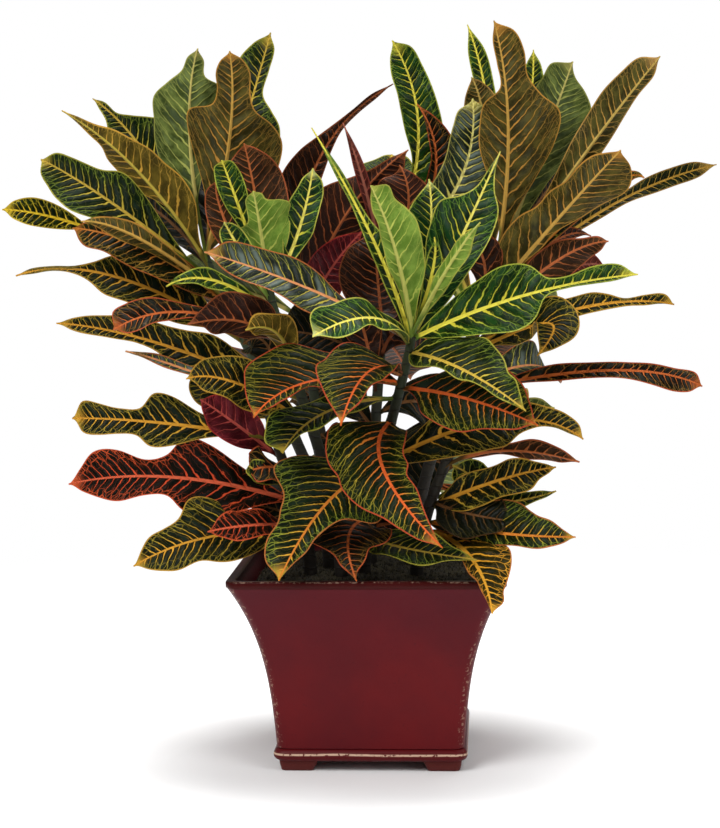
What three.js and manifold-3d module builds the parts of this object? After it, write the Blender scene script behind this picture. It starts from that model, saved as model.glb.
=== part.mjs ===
// A potted croton: a square glazed planter on four corner feet, filled with soil under a
// layer of moss, and nine leafy stems that stand in plain holes in both.
// Millimetres, +Z up. The origin is on the floor, under the middle of the planter.
// +X is to the viewer's right, and the viewer looks along +Y.
import * as THREE from 'three';
import { mergeVertices } from 'three/addons/utils/BufferGeometryUtils.js';
import Module from 'manifold-3d';

const wasm = await Module();
wasm.setup();

// ---------------------------------------------------------------- driving dimensions

// Planter
const RIM_HALF = 101;          // half the width over the rim, an 8 inch planter
const POT_HEIGHT = 147;
const FOOT_HEIGHT = 8;
const FOOT_OUTER_HALF = 67;    // half the width over the feet
const FOOT_TOP = 30;           // width of a foot where it meets the planter
const FOOT_BOTTOM = 23;
const FOOT_DRAFT = 1.5;        // how far a foot's outer faces lean in at the floor
const FOOT_JOIN = 1;           // how far a foot runs up into the planter
const MOULDING_HALF = 71.6;    // the rounded moulding above the feet
const MOULDING_TOP = 17;
const MOULDING_CORNER = 9;
const MOULDING_PROFILE = [[0, 4], [0.22, 1], [0.55, 0], [0.89, 1]];  // share of height, inset
const BODY_HALF = 69.2;        // the body just above the moulding
const BODY_STRAIGHT_FLARE = 9.7;
const BODY_CURVED_FLARE = 21.1;
const BODY_CORNER = 9;
const BODY_LEVELS = [0.25, 0.45, 0.6, 0.72, 0.82, 0.91, 1];  // shares of the body's height
const RIM_BAND = 5.5;          // height of the rim band
const WALL = 7;
const RIM_EASE = 1;            // bevel around the top of the rim
const POT_FLOOR = 20;          // top of the planter's inner floor
const FLOOR_INSET = 2;         // how far the inner wall turns in at the floor
const INNER_CORNER = 7;
const INNER_LEVELS = [0.1, 0.5, 0.75, 0.9];  // shares of the inner height
const CORNER_SEGMENTS = 2;

// Soil and moss
const CLEARANCE = 0.3;         // between any two pieces that touch
const SOIL_TOP = 132;
const SOIL_CORNER = 6.7;
const MOSS_TOP = 139;          // mean height of the moss
const MOSS_BUMP = 1.6;
const MOSS_WAVES = [0.11, 0.13];   // how quickly its height changes across and along
const MOSS_PHASES = [1, -0.6];
const MOSS_CORNER = 6.5;
const MOSS_LEVELS = [0.97, 0.8, 0.6, 0.4, 0.2];  // shares of its half width
const HOLE_CLEARANCE = 0.5;    // around a stem, in the soil and in the moss
const HOLE_SIDES = 8;
const CUT_MARGIN = 1;          // how far a cut runs past the face that it opens

// Stems
const STEM_FOOT = 88;          // lower end of each stem, in the soil
const STEM_SIDES = 6;
const STEM_STEPS = 5;
const STEM_FOOT_RADIUS = 5;
const STEM_TOP_RADIUS = 3.2;
const STEM_UPRIGHT = 0.35;     // share of its rise that a stem makes upright
const STEM_LEAN = 0.72;        // share of its reach where the curve's last handle lies
const STEM_LEAN_RISE = 0.68;   // and of its rise

// Leaves
const BLADE_THICKNESS = 0.9;
const MIDRIB_DEPTH = 2.2;      // how far the midrib stands out below, at the stem
const PETIOLE_HALF = 1.3;
const STALK_TAPER = 0.6;       // share of its width that a midrib loses towards the tip
const TIP_HALF = 0.4;
const VEIN_SWEEP = 0.5;        // how far the side veins lean towards the tip
const FOLD = 0.22;             // how steeply the two halves rise from the midrib
const WAVE = 2.6;              // height of the waves along the edge
const WAVES = 2.6;             // waves from the stem to the tip
const WAVE_START = 2.4;        // from one leaf to the next, in radians
const FULL_WAVE_HALF = 10;     // half width from which an edge waves fully

// Leaves are placed by sight lines. A place [across, depth, up] is seen at across and up on
// the plane that faces the eye at AIM, and lies at that depth behind the planter's middle.
const EYE = new THREE.Vector3(92, -1500, 396);
const AIM = new THREE.Vector3(-8.6, 0, 258);
const ROLL = 0.75;                // degrees that the view leans clockwise
const AIM_READING = [-8.3, 253];  // across and up at AIM

// Stem: name, foot [x, y], top [x, y, z]
const STEMS = [
  ['left', [-34, 8], [-128, 20, 381]],
  ['mid_left', [-22, -30], [-72, -40, 355]],
  ['low_left', [-46, -24], [-72, -52, 262]],
  ['centre', [-6, -12], [34, -60, 320]],
  ['low_right', [34, -26], [66, -52, 255]],
  ['right', [30, 12], [93, 20, 362]],
  ['back', [-4, 34], [10, 70, 385]],
  ['back_left', [-34, 42], [-62, 80, 350]],
  ['back_right', [34, 44], [80, 88, 335]],
];

// Leaf: stem, how far up the stem it grows, place halfway along its midrib, place of its
// tip, where its upper face looks [bearing, lift], twist from end to end, width, outline.
// Bearing 0 looks to the viewer and 90 to the viewer's right. Degrees and millimetres.
// An outline has a digit at each even step from the stem to the tip: the ninths of half the
// width that the blade reaches there. A nought is bare stalk, and a dip is the notch between
// two lobes. Where two are given, the first is the left half, seen on the upper face with the
// tip ahead, and the second is the right half.
const LEAVES = [
  // the left stem's head
  ['left', 0.97, [-137, 8, 462], [-131, -12, 530], [180, 0], 0, 56, '00025677320', '00279996320'],
  ['left', 0.985, [-107, -4, 461], [-107, -20, 528], [180, 0], 0, 76, '04899743320', '01368843320'],
  ['left', 0.99, [-99, 50, 461], [-76, 70, 542], [0, 5], 0, 64, '01367655530', '01599852220'],
  ['left', 0.93, [-167, 50, 445], [-211, 65, 492], [-10, 10], 0, 61, '00245554210', '00279963110'],
  ['left', 0.95, [-175, -2, 436], [-234, -18, 483], [175, 20], 0, 41, '02898864210', '00115663210'],
  ['left', 0.9, [-192, -20, 410], [-250, -34, 446], [0, 25], 0, 50, '00135798640', '00257865430'],
  ['left', 0.88, [-209, 2, 392], [-279, -20, 408], [0, 15], 0, 22, '00000058960'],
  ['left', 0.84, [-171, -32, 378], [-226, -50, 394], [0, 30], 0, 40, '14799998740', '02344444420'],
  ['left', 0.86, [-175, -44, 386], [-219, -60, 399], [180, 10], 0, 16, '0379840'],
  ['left', 0.7, [-190, -28, 356], [-269, -50, 358], [0, 30], 0, 41, '02799842110', '02799731110'],
  ['left', 0.94, [-160, 70, 405], [-200, 115, 420], [-60, 40], 0, 44, '04970'],
  ['left', 0.82, [-160, 70, 355], [-192, 125, 360], [-90, 45], 0, 46, '0488750'],
  ['left', 0.97, [-120, 66, 430], [-108, 98, 470], [0, 20], 0, 40, '04970'],
  ['left', 0.72, [-120, 75, 330], [-150, 130, 325], [180, 50], 0, 44, '04970'],
  ['left', 0.5, [-78, 4, 304], [-97, -4, 306], [0, 20], 0, 36, '04970'],
  // the small head in front of it
  ['mid_left', 0.97, [-99, -46, 407], [-113, -52, 445], [0, 10], 0, 20, '00025899860'],
  ['mid_left', 1, [-83, -56, 389], [-89, -66, 422], [180, 0], 0, 48, '02578897320', '02688533320'],
  ['mid_left', 0.98, [-56, -50, 388], [-44, -56, 439], [5, 5], 0, 27, '00136898640', '00135777750'],
  ['mid_left', 0.95, [-86, -28, 411], [-96, -30, 458], [180, 10], 0, 46, '027998630'],
  ['mid_left', 0.93, [-108, -30, 394], [-117, -36, 430], [180, 0], 0, 24, '049960'],
  ['mid_left', 0.9, [-118, -64, 354], [-155, -80, 350], [0, 30], 0, 15, '0379840'],
  ['mid_left', 0.94, [-99, -62, 377], [-111, -72, 398], [0, 10], 0, 18, '049960'],
  ['mid_left', 0.8, [-137, -66, 330], [-195, -88, 317], [0, 25], 0, 30, '00012345750', '00013457870'],
  ['mid_left', 0.78, [-95, -58, 323], [-139, -70, 321], [180, 20], 0, 40, '027998630', '026776520'],
  ['mid_left', 0.68, [-70, -72, 314], [-95, -84, 317], [180, 30], 0, 26, '049960'],
  ['mid_left', 0.6, [-156, -46, 305], [-238, -66, 322], [0, 28], 0, 42, '02467323320', '02587665420'],
  ['mid_left', 0.5, [-98, -80, 275], [-140, -97, 280], [0, 30], 0, 36, '027998630'],
  ['mid_left', 0.55, [-138, -62, 286], [-186, -66, 301], [0, 40], 0, 9, '0379840'],
  // low leaves to the left
  ['low_left', 0.85, [-156, -68, 246], [-226, -90, 250], [0, 28], 0, 40, '00258966650', '00259944550'],
  ['low_left', 0.45, [-148, -74, 205], [-229, -94, 200], [0, 22], 0, 56, '03798556530', '02589546630'],
  ['low_left', 0.72, [-103, -56, 246], [-129, -66, 264], [0, 20], 0, 31, '027998630'],
  ['low_left', 0.22, [-116, -86, 161], [-180, -112, 138], [0, 38], 0, 58, '02478877530', '01479965420'],
  ['low_left', 0.3, [-88, -96, 169], [-124, -110, 164], [0, 30], 0, 24, '049960'],
  ['low_left', 0.55, [-82, -66, 208], [-93, -72, 214], [0, 20], 0, 16, '049960'],
  ['low_left', 0.66, [-78, -66, 213], [-92, -72, 210], [0, 30], 0, 30, '027998630'],
  ['low_left', 0.3, [-70, -42, 180], [-92, -46, 184], [0, 30], 0, 30, '04970'],
  // the centre stem, whose head looks to the viewer
  ['centre', 0.98, [-40, -92, 345], [-126, -112, 376], [0, 30], 0, 37, '00138987640', '00013688750'],
  ['centre', 0.97, [4, -72, 380], [-45, -50, 470], [10, 0], 0, 26, '02344432210', '04899632210'],
  ['centre', 1, [20, -86, 373], [0, -92, 426], [170, 0], 0, 40, '02478997550', '01234443320'],
  ['centre', 0.99, [64, -60, 377], [98, -52, 452], [-5, 0], 0, 49, '01358995210', '02456776310'],
  ['centre', 0.95, [44, -50, 372], [44, -40, 431], [0, 0], 0, 44, '027998630'],
  ['centre', 1, [58, -84, 362], [83, -96, 398], [150, 0], 0, 15, '0379840'],
  ['centre', 1, [46, -76, 358], [48, -80, 387], [0, 0], 0, 12, '0379840'],
  ['centre', 0.985, [113, -100, 342], [202, -120, 359], [0, 25], 0, 52, '03678732330', '03689721110'],
  ['centre', 0.97, [1, -112, 326], [-44, -150, 312], [0, 35], 0, 36, '05766667640', '02356788860'],
  ['centre', 0.93, [69, -118, 287], [117, -170, 256], [0, 35], 0, 54, '06799875420', '04443322210'],
  ['centre', 0.84, [-2, -102, 285], [-23, -154, 245], [-15, 40], 0, 64, '02456554310', '05899986420'],
  ['centre', 0.8, [-45, -86, 278], [-89, -122, 251], [-10, 50], 0, 68, '023333220', '057999630'],
  ['centre', 0.74, [-35, -70, 254], [-67, -100, 224], [-10, 40], 0, 44, '01345543210', '01245679860'],
  ['centre', 0.64, [9, -112, 212], [54, -160, 152], [-12, 32], 0, 80, '04554433210', '07887764320'],
  ['centre', 0.42, [-33, -88, 186], [-70, -120, 127], [-5, 35], 0, 86, '04799532210', '04899654430'],
  ['centre', 0.22, [-17, -72, 160], [-11, -110, 127], [0, 45], 0, 66, '02689854310', '02689963210'],
  ['centre', 0.15, [24, -72, 152], [80, -100, 143], [0, 50], 0, 34, '027998630'],
  ['centre', 0.78, [71, -98, 265], [126, -140, 245], [0, 32], 0, 60, '027998630'],
  ['centre', 0.45, [96, -80, 248], [161, -98, 234], [0, 25], 0, 44, '03678754430', '05899952110'],
  // low leaves to the right
  ['low_right', 0.95, [105, -60, 256], [139, -64, 258], [180, 20], 0, 15, '049960'],
  ['low_right', 0.72, [101, -52, 226], [158, -60, 217], [180, 25], 0, 18, '0255870', '0255870'],
  ['low_right', 0.44, [94, -70, 202], [140, -84, 213], [0, 25], 0, 30, '03677776420', '05999998530'],
  ['low_right', 0.45, [101, -56, 186], [140, -62, 195], [0, 40], 0, 14, '0379840'],
  ['low_right', 0.35, [96, -78, 163], [155, -92, 160], [0, 30], 0, 48, '02479975420', '02344444320'],
  ['low_right', 0.3, [75, -88, 145], [92, -120, 102], [15, 25], 0, 50, '01258986430', '01223332210'],
  ['low_right', 0.48, [72, -66, 178], [108, -76, 172], [0, 35], 0, 44, '027998630'],
  // the right stem's head
  ['right', 1, [104, 0, 461], [93, -14, 551], [180, 0], 0, 77, '01258964430', '00135541110'],
  ['right', 0.97, [91, 42, 465], [73, 56, 548], [0, 0], 0, 15, '0379980'],
  ['right', 0.95, [88, 26, 455], [76, 28, 508], [180, 0], 0, 34, '027998630'],
  ['right', 0.97, [116, 40, 455], [123, 52, 529], [0, 0], 0, 20, '0135999850'],
  ['right', 0.95, [126, 22, 446], [153, 12, 520], [180, 5], 0, 52, '00135899620', '00123567650'],
  ['right', 0.93, [159, 2, 446], [219, -14, 524], [180, 10], 0, 34, '00123554330', '00135789860'],
  ['right', 0.9, [144, -12, 404], [189, -26, 453], [180, 18], 0, 51, '01122579850', '05886655420'],
  ['right', 0.88, [172, 48, 405], [262, 92, 442], [0, 20], 40, 14, '00135669980'],
  ['right', 0.8, [137, 4, 367], [180, -6, 384], [180, 15], 0, 36, '028987530', '024665320'],
  ['right', 0.78, [138, 14, 358], [177, 12, 365], [180, 15], 0, 22, '049960'],
  ['right', 0.83, [132, 22, 379], [167, 32, 388], [0, 30], 0, 13, '0379840'],
  ['right', 0.75, [162, -24, 334], [230, -18, 336], [0, 30], 40, 22, '04899852450', '03798643310'],
  ['right', 0.72, [133, -48, 322], [126, -74, 297], [15, 25], 0, 39, '027998630'],
  ['right', 0.58, [176, -24, 286], [251, -42, 274], [0, 30], 40, 26, '02455544450', '02344567860'],
  ['right', 0.9, [128, 70, 415], [150, 125, 428], [90, 40], 0, 36, '04970'],
  ['right', 0.75, [126, 72, 335], [140, 130, 322], [60, 45], 0, 44, '04970'],
  ['right', 0.6, [118, 72, 290], [136, 125, 280], [60, 45], 0, 42, '04970'],
  ['right', 0.85, [86, 6, 366], [74, 2, 384], [0, 10], 0, 30, '04970'],
  // tall leaves behind the centre
  ['back', 0.98, [36, 66, 461], [16, 66, 536], [0, 0], 0, 38, '00012566640', '01479987650'],
  ['back', 0.93, [48, 48, 430], [35, 42, 488], [0, 0], 0, 36, '012332210', '027998630'],
  ['back', 0.95, [64, 26, 423], [77, 20, 492], [0, 5], 0, 34, '01479999860'],
  ['back', 0.9, [28, 22, 405], [22, 18, 441], [180, 0], 0, 48, '037630', '049960'],
  ['back', 0.9, [-4, 16, 423], [-21, 10, 473], [180, 0], 0, 9, '0379840'],
  ['back', 0.75, [6, -6, 345], [2, -10, 396], [0, 0], 0, 56, '04970'],
  ['back', 0.95, [12, 120, 420], [16, 165, 450], [0, 30], 0, 46, '04970'],
  ['back', 0.85, [-5, 130, 360], [-10, 170, 350], [180, 55], 0, 60, '04970'],
  ['back', 0.7, [20, 120, 300], [30, 168, 280], [180, 50], 0, 60, '04970'],
  ['back', 0.3, [0, 100, 210], [-4, 160, 175], [180, 50], 0, 50, '04970'],
  ['back', 0.55, [-22, 76, 275], [-62, 116, 262], [0, 20], 0, 56, '04970'],
  ['back', 0.45, [38, 34, 262], [66, 36, 238], [0, 20], 0, 50, '04970'],
  ['back', 0.6, [-28, 33, 309], [-72, 31, 316], [0, 15], 0, 54, '04970'],
  ['back', 0.62, [24, 30, 318], [50, 24, 300], [0, 15], 0, 50, '04970'],
  ['back', 0.32, [30, 33, 222], [62, 32, 212], [0, 5], 0, 62, '04970'],
  ['back', 0.36, [-20, 30, 228], [-38, 29, 238], [0, 5], 0, 34, '04970'],
  ['back', 0.14, [-20, 30, 180], [-48, 28, 172], [0, 5], 0, 54, '04970'],
  ['back', 0.1, [16, 30, 170], [40, 28, 166], [0, 5], 0, 40, '04970'],
  // the back, left and right
  ['back_left', 0.9, [-20, 36, 402], [28, 34, 453], [180, 10], 0, 64, '027998630', '027974210'],
  ['back_left', 0.85, [-34, 30, 357], [-6, 10, 392], [0, 10], 0, 34, '027998630'],
  ['back_left', 0.96, [-43, 62, 438], [17, 70, 503], [20, 10], 20, 46, '03799742110', '00123321110'],
  ['back_left', 0.97, [-40, 100, 376], [-32, 140, 418], [0, 20], 0, 54, '04970'],
  ['back_left', 0.9, [-110, 125, 352], [-150, 165, 350], [180, 45], 0, 50, '04970'],
  ['back_left', 0.8, [-62, 130, 325], [-60, 168, 300], [180, 50], 0, 52, '04970'],
  ['back_left', 0.62, [-90, 120, 290], [-112, 165, 285], [180, 45], 0, 50, '04970'],
  ['back_left', 0.5, [-104, 76, 264], [-134, 92, 285], [0, 30], 0, 36, '04970'],
  ['back_left', 0.4, [-62, 110, 196], [-78, 155, 166], [180, 50], 0, 50, '04970'],
  ['back_left', 0.25, [-80, 80, 190], [-108, 120, 168], [-90, 55], 0, 46, '04970'],
  ['back_right', 0.97, [58, 130, 385], [55, 172, 398], [180, 30], 0, 46, '04970'],
  ['back_right', 0.9, [110, 120, 335], [132, 165, 330], [180, 45], 0, 50, '04970'],
  ['back_right', 0.8, [85, 135, 310], [90, 170, 285], [180, 50], 0, 52, '04970'],
  ['back_right', 0.6, [90, 110, 262], [108, 155, 250], [180, 45], 0, 50, '04970'],
  ['back_right', 0.45, [52, 120, 222], [56, 170, 190], [180, 50], 0, 52, '04970'],
  ['back_right', 0.3, [88, 70, 185], [108, 115, 165], [90, 55], 0, 44, '04970'],
  ['back_right', 0.95, [50, 115, 375], [35, 150, 410], [180, 30], 0, 42, '04970'],
  // small leaves out at the right and inside the crown
  ['right', 0.9, [168, -2, 416], [207, -10, 432], [0, 20], 0, 14, '0379840'],
  ['back', 0.5, [-6, 24, 318], [-18, 22, 338], [0, 10], 0, 34, '04970'],
  ['back', 0.4, [-14, 26, 262], [-26, 24, 272], [0, 10], 0, 36, '04970'],
  ['low_right', 0.5, [75, -43, 201], [62, -50, 214], [0, 20], 0, 28, '049960'],
];

// The pieces' colours
const GLAZE = new THREE.MeshStandardMaterial({ color: 0x64222a, roughness: 0.25 });
const EARTH = new THREE.MeshStandardMaterial({ color: 0x2c2118, roughness: 1 });
const MOSS = new THREE.MeshStandardMaterial({ color: 0x4a4420, roughness: 1 });
const FOLIAGE = {
  left: 0x4b5a1e, mid_left: 0x3f6a26, low_left: 0x7a2f1c, centre: 0x2f5220, low_right: 0x3b3216,
  right: 0x5a4a1e, back: 0x4a5a22, back_left: 0x553020, back_right: 0x33491e,
};

// ---------------------------------------------------------------- solids

function toSolid(geometry) {
  const bare = geometry.clone();
  bare.deleteAttribute('normal');
  bare.deleteAttribute('uv');
  const merged = mergeVertices(bare, 1e-4);
  return new wasm.Manifold(new wasm.Mesh({
    numProp: 3,
    vertProperties: Float32Array.from(merged.attributes.position.array),
    triVerts: Uint32Array.from(merged.index.array),
  }));
}

function toGeometry(solid) {
  const mesh = solid.getMesh();
  const geometry = new THREE.BufferGeometry();
  geometry.setAttribute('position', new THREE.BufferAttribute(mesh.vertProperties, 3));
  geometry.setIndex(new THREE.BufferAttribute(mesh.triVerts, 1));
  geometry.computeVertexNormals();
  return geometry;
}

function join(solids) {
  return solids.reduce((whole, solid) => whole.add(solid));
}

// Skins a run of rings, each a list of as many points, and closes both ends.
function loft(rings) {
  const sides = rings[0].length;
  const points = rings.flat();
  const faces = [];
  for (let i = 0; i + 1 < rings.length; i += 1) {
    for (let j = 0; j < sides; j += 1) {
      const a = i * sides + j;
      const b = i * sides + (j + 1) % sides;
      faces.push(a, b, b + sides, a, b + sides, a + sides);
    }
  }
  const last = (rings.length - 1) * sides;
  for (let j = 1; j + 1 < sides; j += 1) {
    faces.push(0, j + 1, j, last, last + j, last + j + 1);
  }
  return fromFaces(points, faces);
}

function fromFaces(points, faces) {
  const geometry = new THREE.BufferGeometry();
  geometry.setFromPoints(points);
  geometry.setIndex(faces);
  return toSolid(geometry);
}

// ---------------------------------------------------------------- planter, soil, moss

// A square with rounded corners, seen from above, counterclockwise.
function roundedSquare(half, radius, z) {
  const ring = [];
  for (let corner = 0; corner < 4; corner += 1) {
    const start = corner * Math.PI / 2;
    const centre = new THREE.Vector2(half - radius, half - radius)
      .rotateAround(new THREE.Vector2(), start);
    for (let i = 0; i <= CORNER_SEGMENTS; i += 1) {
      const angle = start + (i / CORNER_SEGMENTS) * Math.PI / 2;
      ring.push(new THREE.Vector3(
        centre.x + radius * Math.cos(angle), centre.y + radius * Math.sin(angle), z,
      ));
    }
  }
  return ring;
}

const BODY_TOP = POT_HEIGHT - RIM_BAND;

// Half the width over the planter's body: nearly upright below, flaring to the rim.
function bodyHalf(z) {
  const rise = (z - MOULDING_TOP) / (BODY_TOP - MOULDING_TOP);
  return BODY_HALF + BODY_STRAIGHT_FLARE * rise + BODY_CURVED_FLARE * rise ** 3;
}

function innerHalf(z) {
  return bodyHalf(z) - WALL;
}

function foot(signX, signY) {
  const slant = FOOT_TOP - FOOT_BOTTOM;
  const ring = (z, width) => {
    const outer = FOOT_OUTER_HALF - (z === 0 ? FOOT_DRAFT : 0);
    const inner = outer - width;
    const corners = [[inner, inner], [outer, inner], [outer, outer], [inner, outer]]
      .map(([x, y]) => new THREE.Vector3(x * signX, y * signY, z));
    return signX * signY > 0 ? corners : corners.reverse();
  };
  return loft([ring(0, FOOT_TOP - slant), ring(FOOT_HEIGHT + FOOT_JOIN, FOOT_TOP)]);
}

function planter() {
  const mouldingHeight = MOULDING_TOP - FOOT_HEIGHT;
  const rings = MOULDING_PROFILE.map(([share, inset]) => roundedSquare(
    MOULDING_HALF - inset, MOULDING_CORNER, FOOT_HEIGHT + share * mouldingHeight,
  ));
  rings.push(roundedSquare(BODY_HALF, MOULDING_CORNER, MOULDING_TOP));
  for (const share of BODY_LEVELS) {
    const z = MOULDING_TOP + share * (BODY_TOP - MOULDING_TOP);
    rings.push(roundedSquare(bodyHalf(z), BODY_CORNER, z));
  }
  rings.push(
    roundedSquare(RIM_HALF, BODY_CORNER, BODY_TOP + RIM_EASE),
    roundedSquare(RIM_HALF, BODY_CORNER, POT_HEIGHT - RIM_EASE),
    roundedSquare(RIM_HALF - RIM_EASE, BODY_CORNER, POT_HEIGHT),
    roundedSquare(RIM_HALF - WALL, INNER_CORNER, POT_HEIGHT),
    roundedSquare(innerHalf(BODY_TOP), INNER_CORNER, BODY_TOP),
  );
  for (const share of INNER_LEVELS.toReversed()) {
    const z = POT_FLOOR + share * (BODY_TOP - POT_FLOOR);
    rings.push(roundedSquare(innerHalf(z), INNER_CORNER, z));
  }
  rings.push(roundedSquare(innerHalf(POT_FLOOR) - FLOOR_INSET, INNER_CORNER, POT_FLOOR));
  const feet = [foot(1, 1), foot(-1, 1), foot(-1, -1), foot(1, -1)];
  return join([loft(rings), ...feet]);
}

function stemHoles(bottom, top) {
  return STEMS.map(([, [x, y]]) => {
    const radius = STEM_FOOT_RADIUS + HOLE_CLEARANCE;
    const hole = new THREE.CylinderGeometry(radius, radius, top - bottom, HOLE_SIDES);
    hole.rotateX(Math.PI / 2);
    hole.translate(x, y, (top + bottom) / 2);
    return toSolid(hole);
  });
}

function soil() {
  const gap = 2 * CLEARANCE;
  const bottom = innerHalf(POT_FLOOR) - FLOOR_INSET - gap;
  const rings = [roundedSquare(bottom, SOIL_CORNER, POT_FLOOR + CLEARANCE)];
  const levels = INNER_LEVELS.map((share) => POT_FLOOR + share * (BODY_TOP - POT_FLOOR));
  for (const z of [...levels, SOIL_TOP].sort((a, b) => a - b)) {
    rings.push(roundedSquare(innerHalf(z) - gap, SOIL_CORNER, z));
  }
  return stemHoles(STEM_FOOT - CLEARANCE, SOIL_TOP + CUT_MARGIN)
    .reduce((whole, hole) => whole.subtract(hole), loft(rings));
}

function mossHeight(x, y) {
  const across = Math.sin(x * MOSS_WAVES[0] + MOSS_PHASES[0]);
  return MOSS_TOP + MOSS_BUMP * across * Math.cos(y * MOSS_WAVES[1] + MOSS_PHASES[1]);
}

function moss() {
  const bottom = SOIL_TOP + CLEARANCE;
  const shoulder = MOSS_TOP - 2 * MOSS_BUMP;
  const low = innerHalf(bottom) - 3 * CLEARANCE;
  const high = innerHalf(shoulder) - 3 * CLEARANCE;
  const rings = [
    roundedSquare(low, MOSS_CORNER, bottom), roundedSquare(high, MOSS_CORNER, shoulder),
  ];
  for (const share of MOSS_LEVELS) {
    const ring = roundedSquare(high * share, MOSS_CORNER * share, 0);
    ring.forEach((point) => point.setZ(mossHeight(point.x, point.y)));
    rings.push(ring);
  }
  return stemHoles(bottom - CUT_MARGIN, MOSS_TOP + MOSS_BUMP + CUT_MARGIN)
    .reduce((whole, hole) => whole.subtract(hole), loft(rings));
}

// ---------------------------------------------------------------- stems and leaves

// The stem above the moss: upright at its foot, then leaning out to its head.
function stemCurve([, [x, y], [topX, topY, topZ]]) {
  const rise = topZ - MOSS_TOP;
  return new THREE.CubicBezierCurve3(
    new THREE.Vector3(x, y, MOSS_TOP),
    new THREE.Vector3(x, y, MOSS_TOP + STEM_UPRIGHT * rise),
    new THREE.Vector3(
      x + STEM_LEAN * (topX - x), y + STEM_LEAN * (topY - y), MOSS_TOP + STEM_LEAN_RISE * rise,
    ),
    new THREE.Vector3(topX, topY, topZ),
  );
}

function stemRadius(share) {
  return STEM_FOOT_RADIUS + (STEM_TOP_RADIUS - STEM_FOOT_RADIUS) * share;
}

function stemTube(stem) {
  const curve = stemCurve(stem);
  const [, [x, y]] = stem;
  const ringAt = (centre, direction, radius) => {
    const turn = new THREE.Quaternion()
      .setFromUnitVectors(new THREE.Vector3(0, 0, 1), direction);
    return Array.from({ length: STEM_SIDES }, (_, i) => {
      const angle = 2 * Math.PI * i / STEM_SIDES;
      return new THREE.Vector3(Math.cos(angle), Math.sin(angle), 0)
        .multiplyScalar(radius).applyQuaternion(turn).add(centre);
    });
  };
  const up = new THREE.Vector3(0, 0, 1);
  const rings = [ringAt(new THREE.Vector3(x, y, STEM_FOOT), up, STEM_FOOT_RADIUS)];
  for (let i = 0; i <= STEM_STEPS; i += 1) {
    const share = i / STEM_STEPS;
    rings.push(ringAt(curve.getPoint(share), curve.getTangent(share), stemRadius(share)));
  }
  return loft(rings);
}

const SIGHT = AIM.clone().sub(EYE);
const LEAN = THREE.MathUtils.degToRad(ROLL);
const SIGHT_RIGHT = new THREE.Vector3(SIGHT.y, -SIGHT.x, 0).normalize()
  .applyAxisAngle(SIGHT.clone().normalize(), LEAN);
const SIGHT_UP = SIGHT_RIGHT.clone().cross(SIGHT).normalize();

// The place that is seen at across and up, at a depth behind the planter's middle.
function place([across, depth, up]) {
  const ray = SIGHT.clone()
    .addScaledVector(SIGHT_RIGHT, across - AIM_READING[0])
    .addScaledVector(SIGHT_UP, up - AIM_READING[1]);
  return EYE.clone().addScaledVector(ray, (depth - EYE.y) / ray.y);
}

// A midrib that leaves its stem, passes the halfway place and ends at the tip.
function midribCurve(start, halfway, tip) {
  const bend = halfway.clone().multiplyScalar(2).addScaledVector(start, -0.5)
    .addScaledVector(tip, -0.5);
  return new THREE.QuadraticBezierCurve3(start, bend, tip);
}

// The way the upper face looks: a bearing round from the viewer, and a lift above level.
function lookDirection([bearing, lift]) {
  const turn = THREE.MathUtils.degToRad(bearing);
  const rise = THREE.MathUtils.degToRad(lift);
  return new THREE.Vector3(
    Math.sin(turn) * Math.cos(rise), -Math.cos(turn) * Math.cos(rise), Math.sin(rise),
  );
}

// Half the blade's width on one side, at least a leaf stalk's, and a point at the tip.
function bladeHalf(outline, width, step) {
  const share = step / (outline.length - 1);
  const stalk = share < 1 ? PETIOLE_HALF * (1 - STALK_TAPER * share) : TIP_HALF;
  return Math.max(stalk, (Number(outline[step]) / 9) * (width / 2));
}

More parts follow.
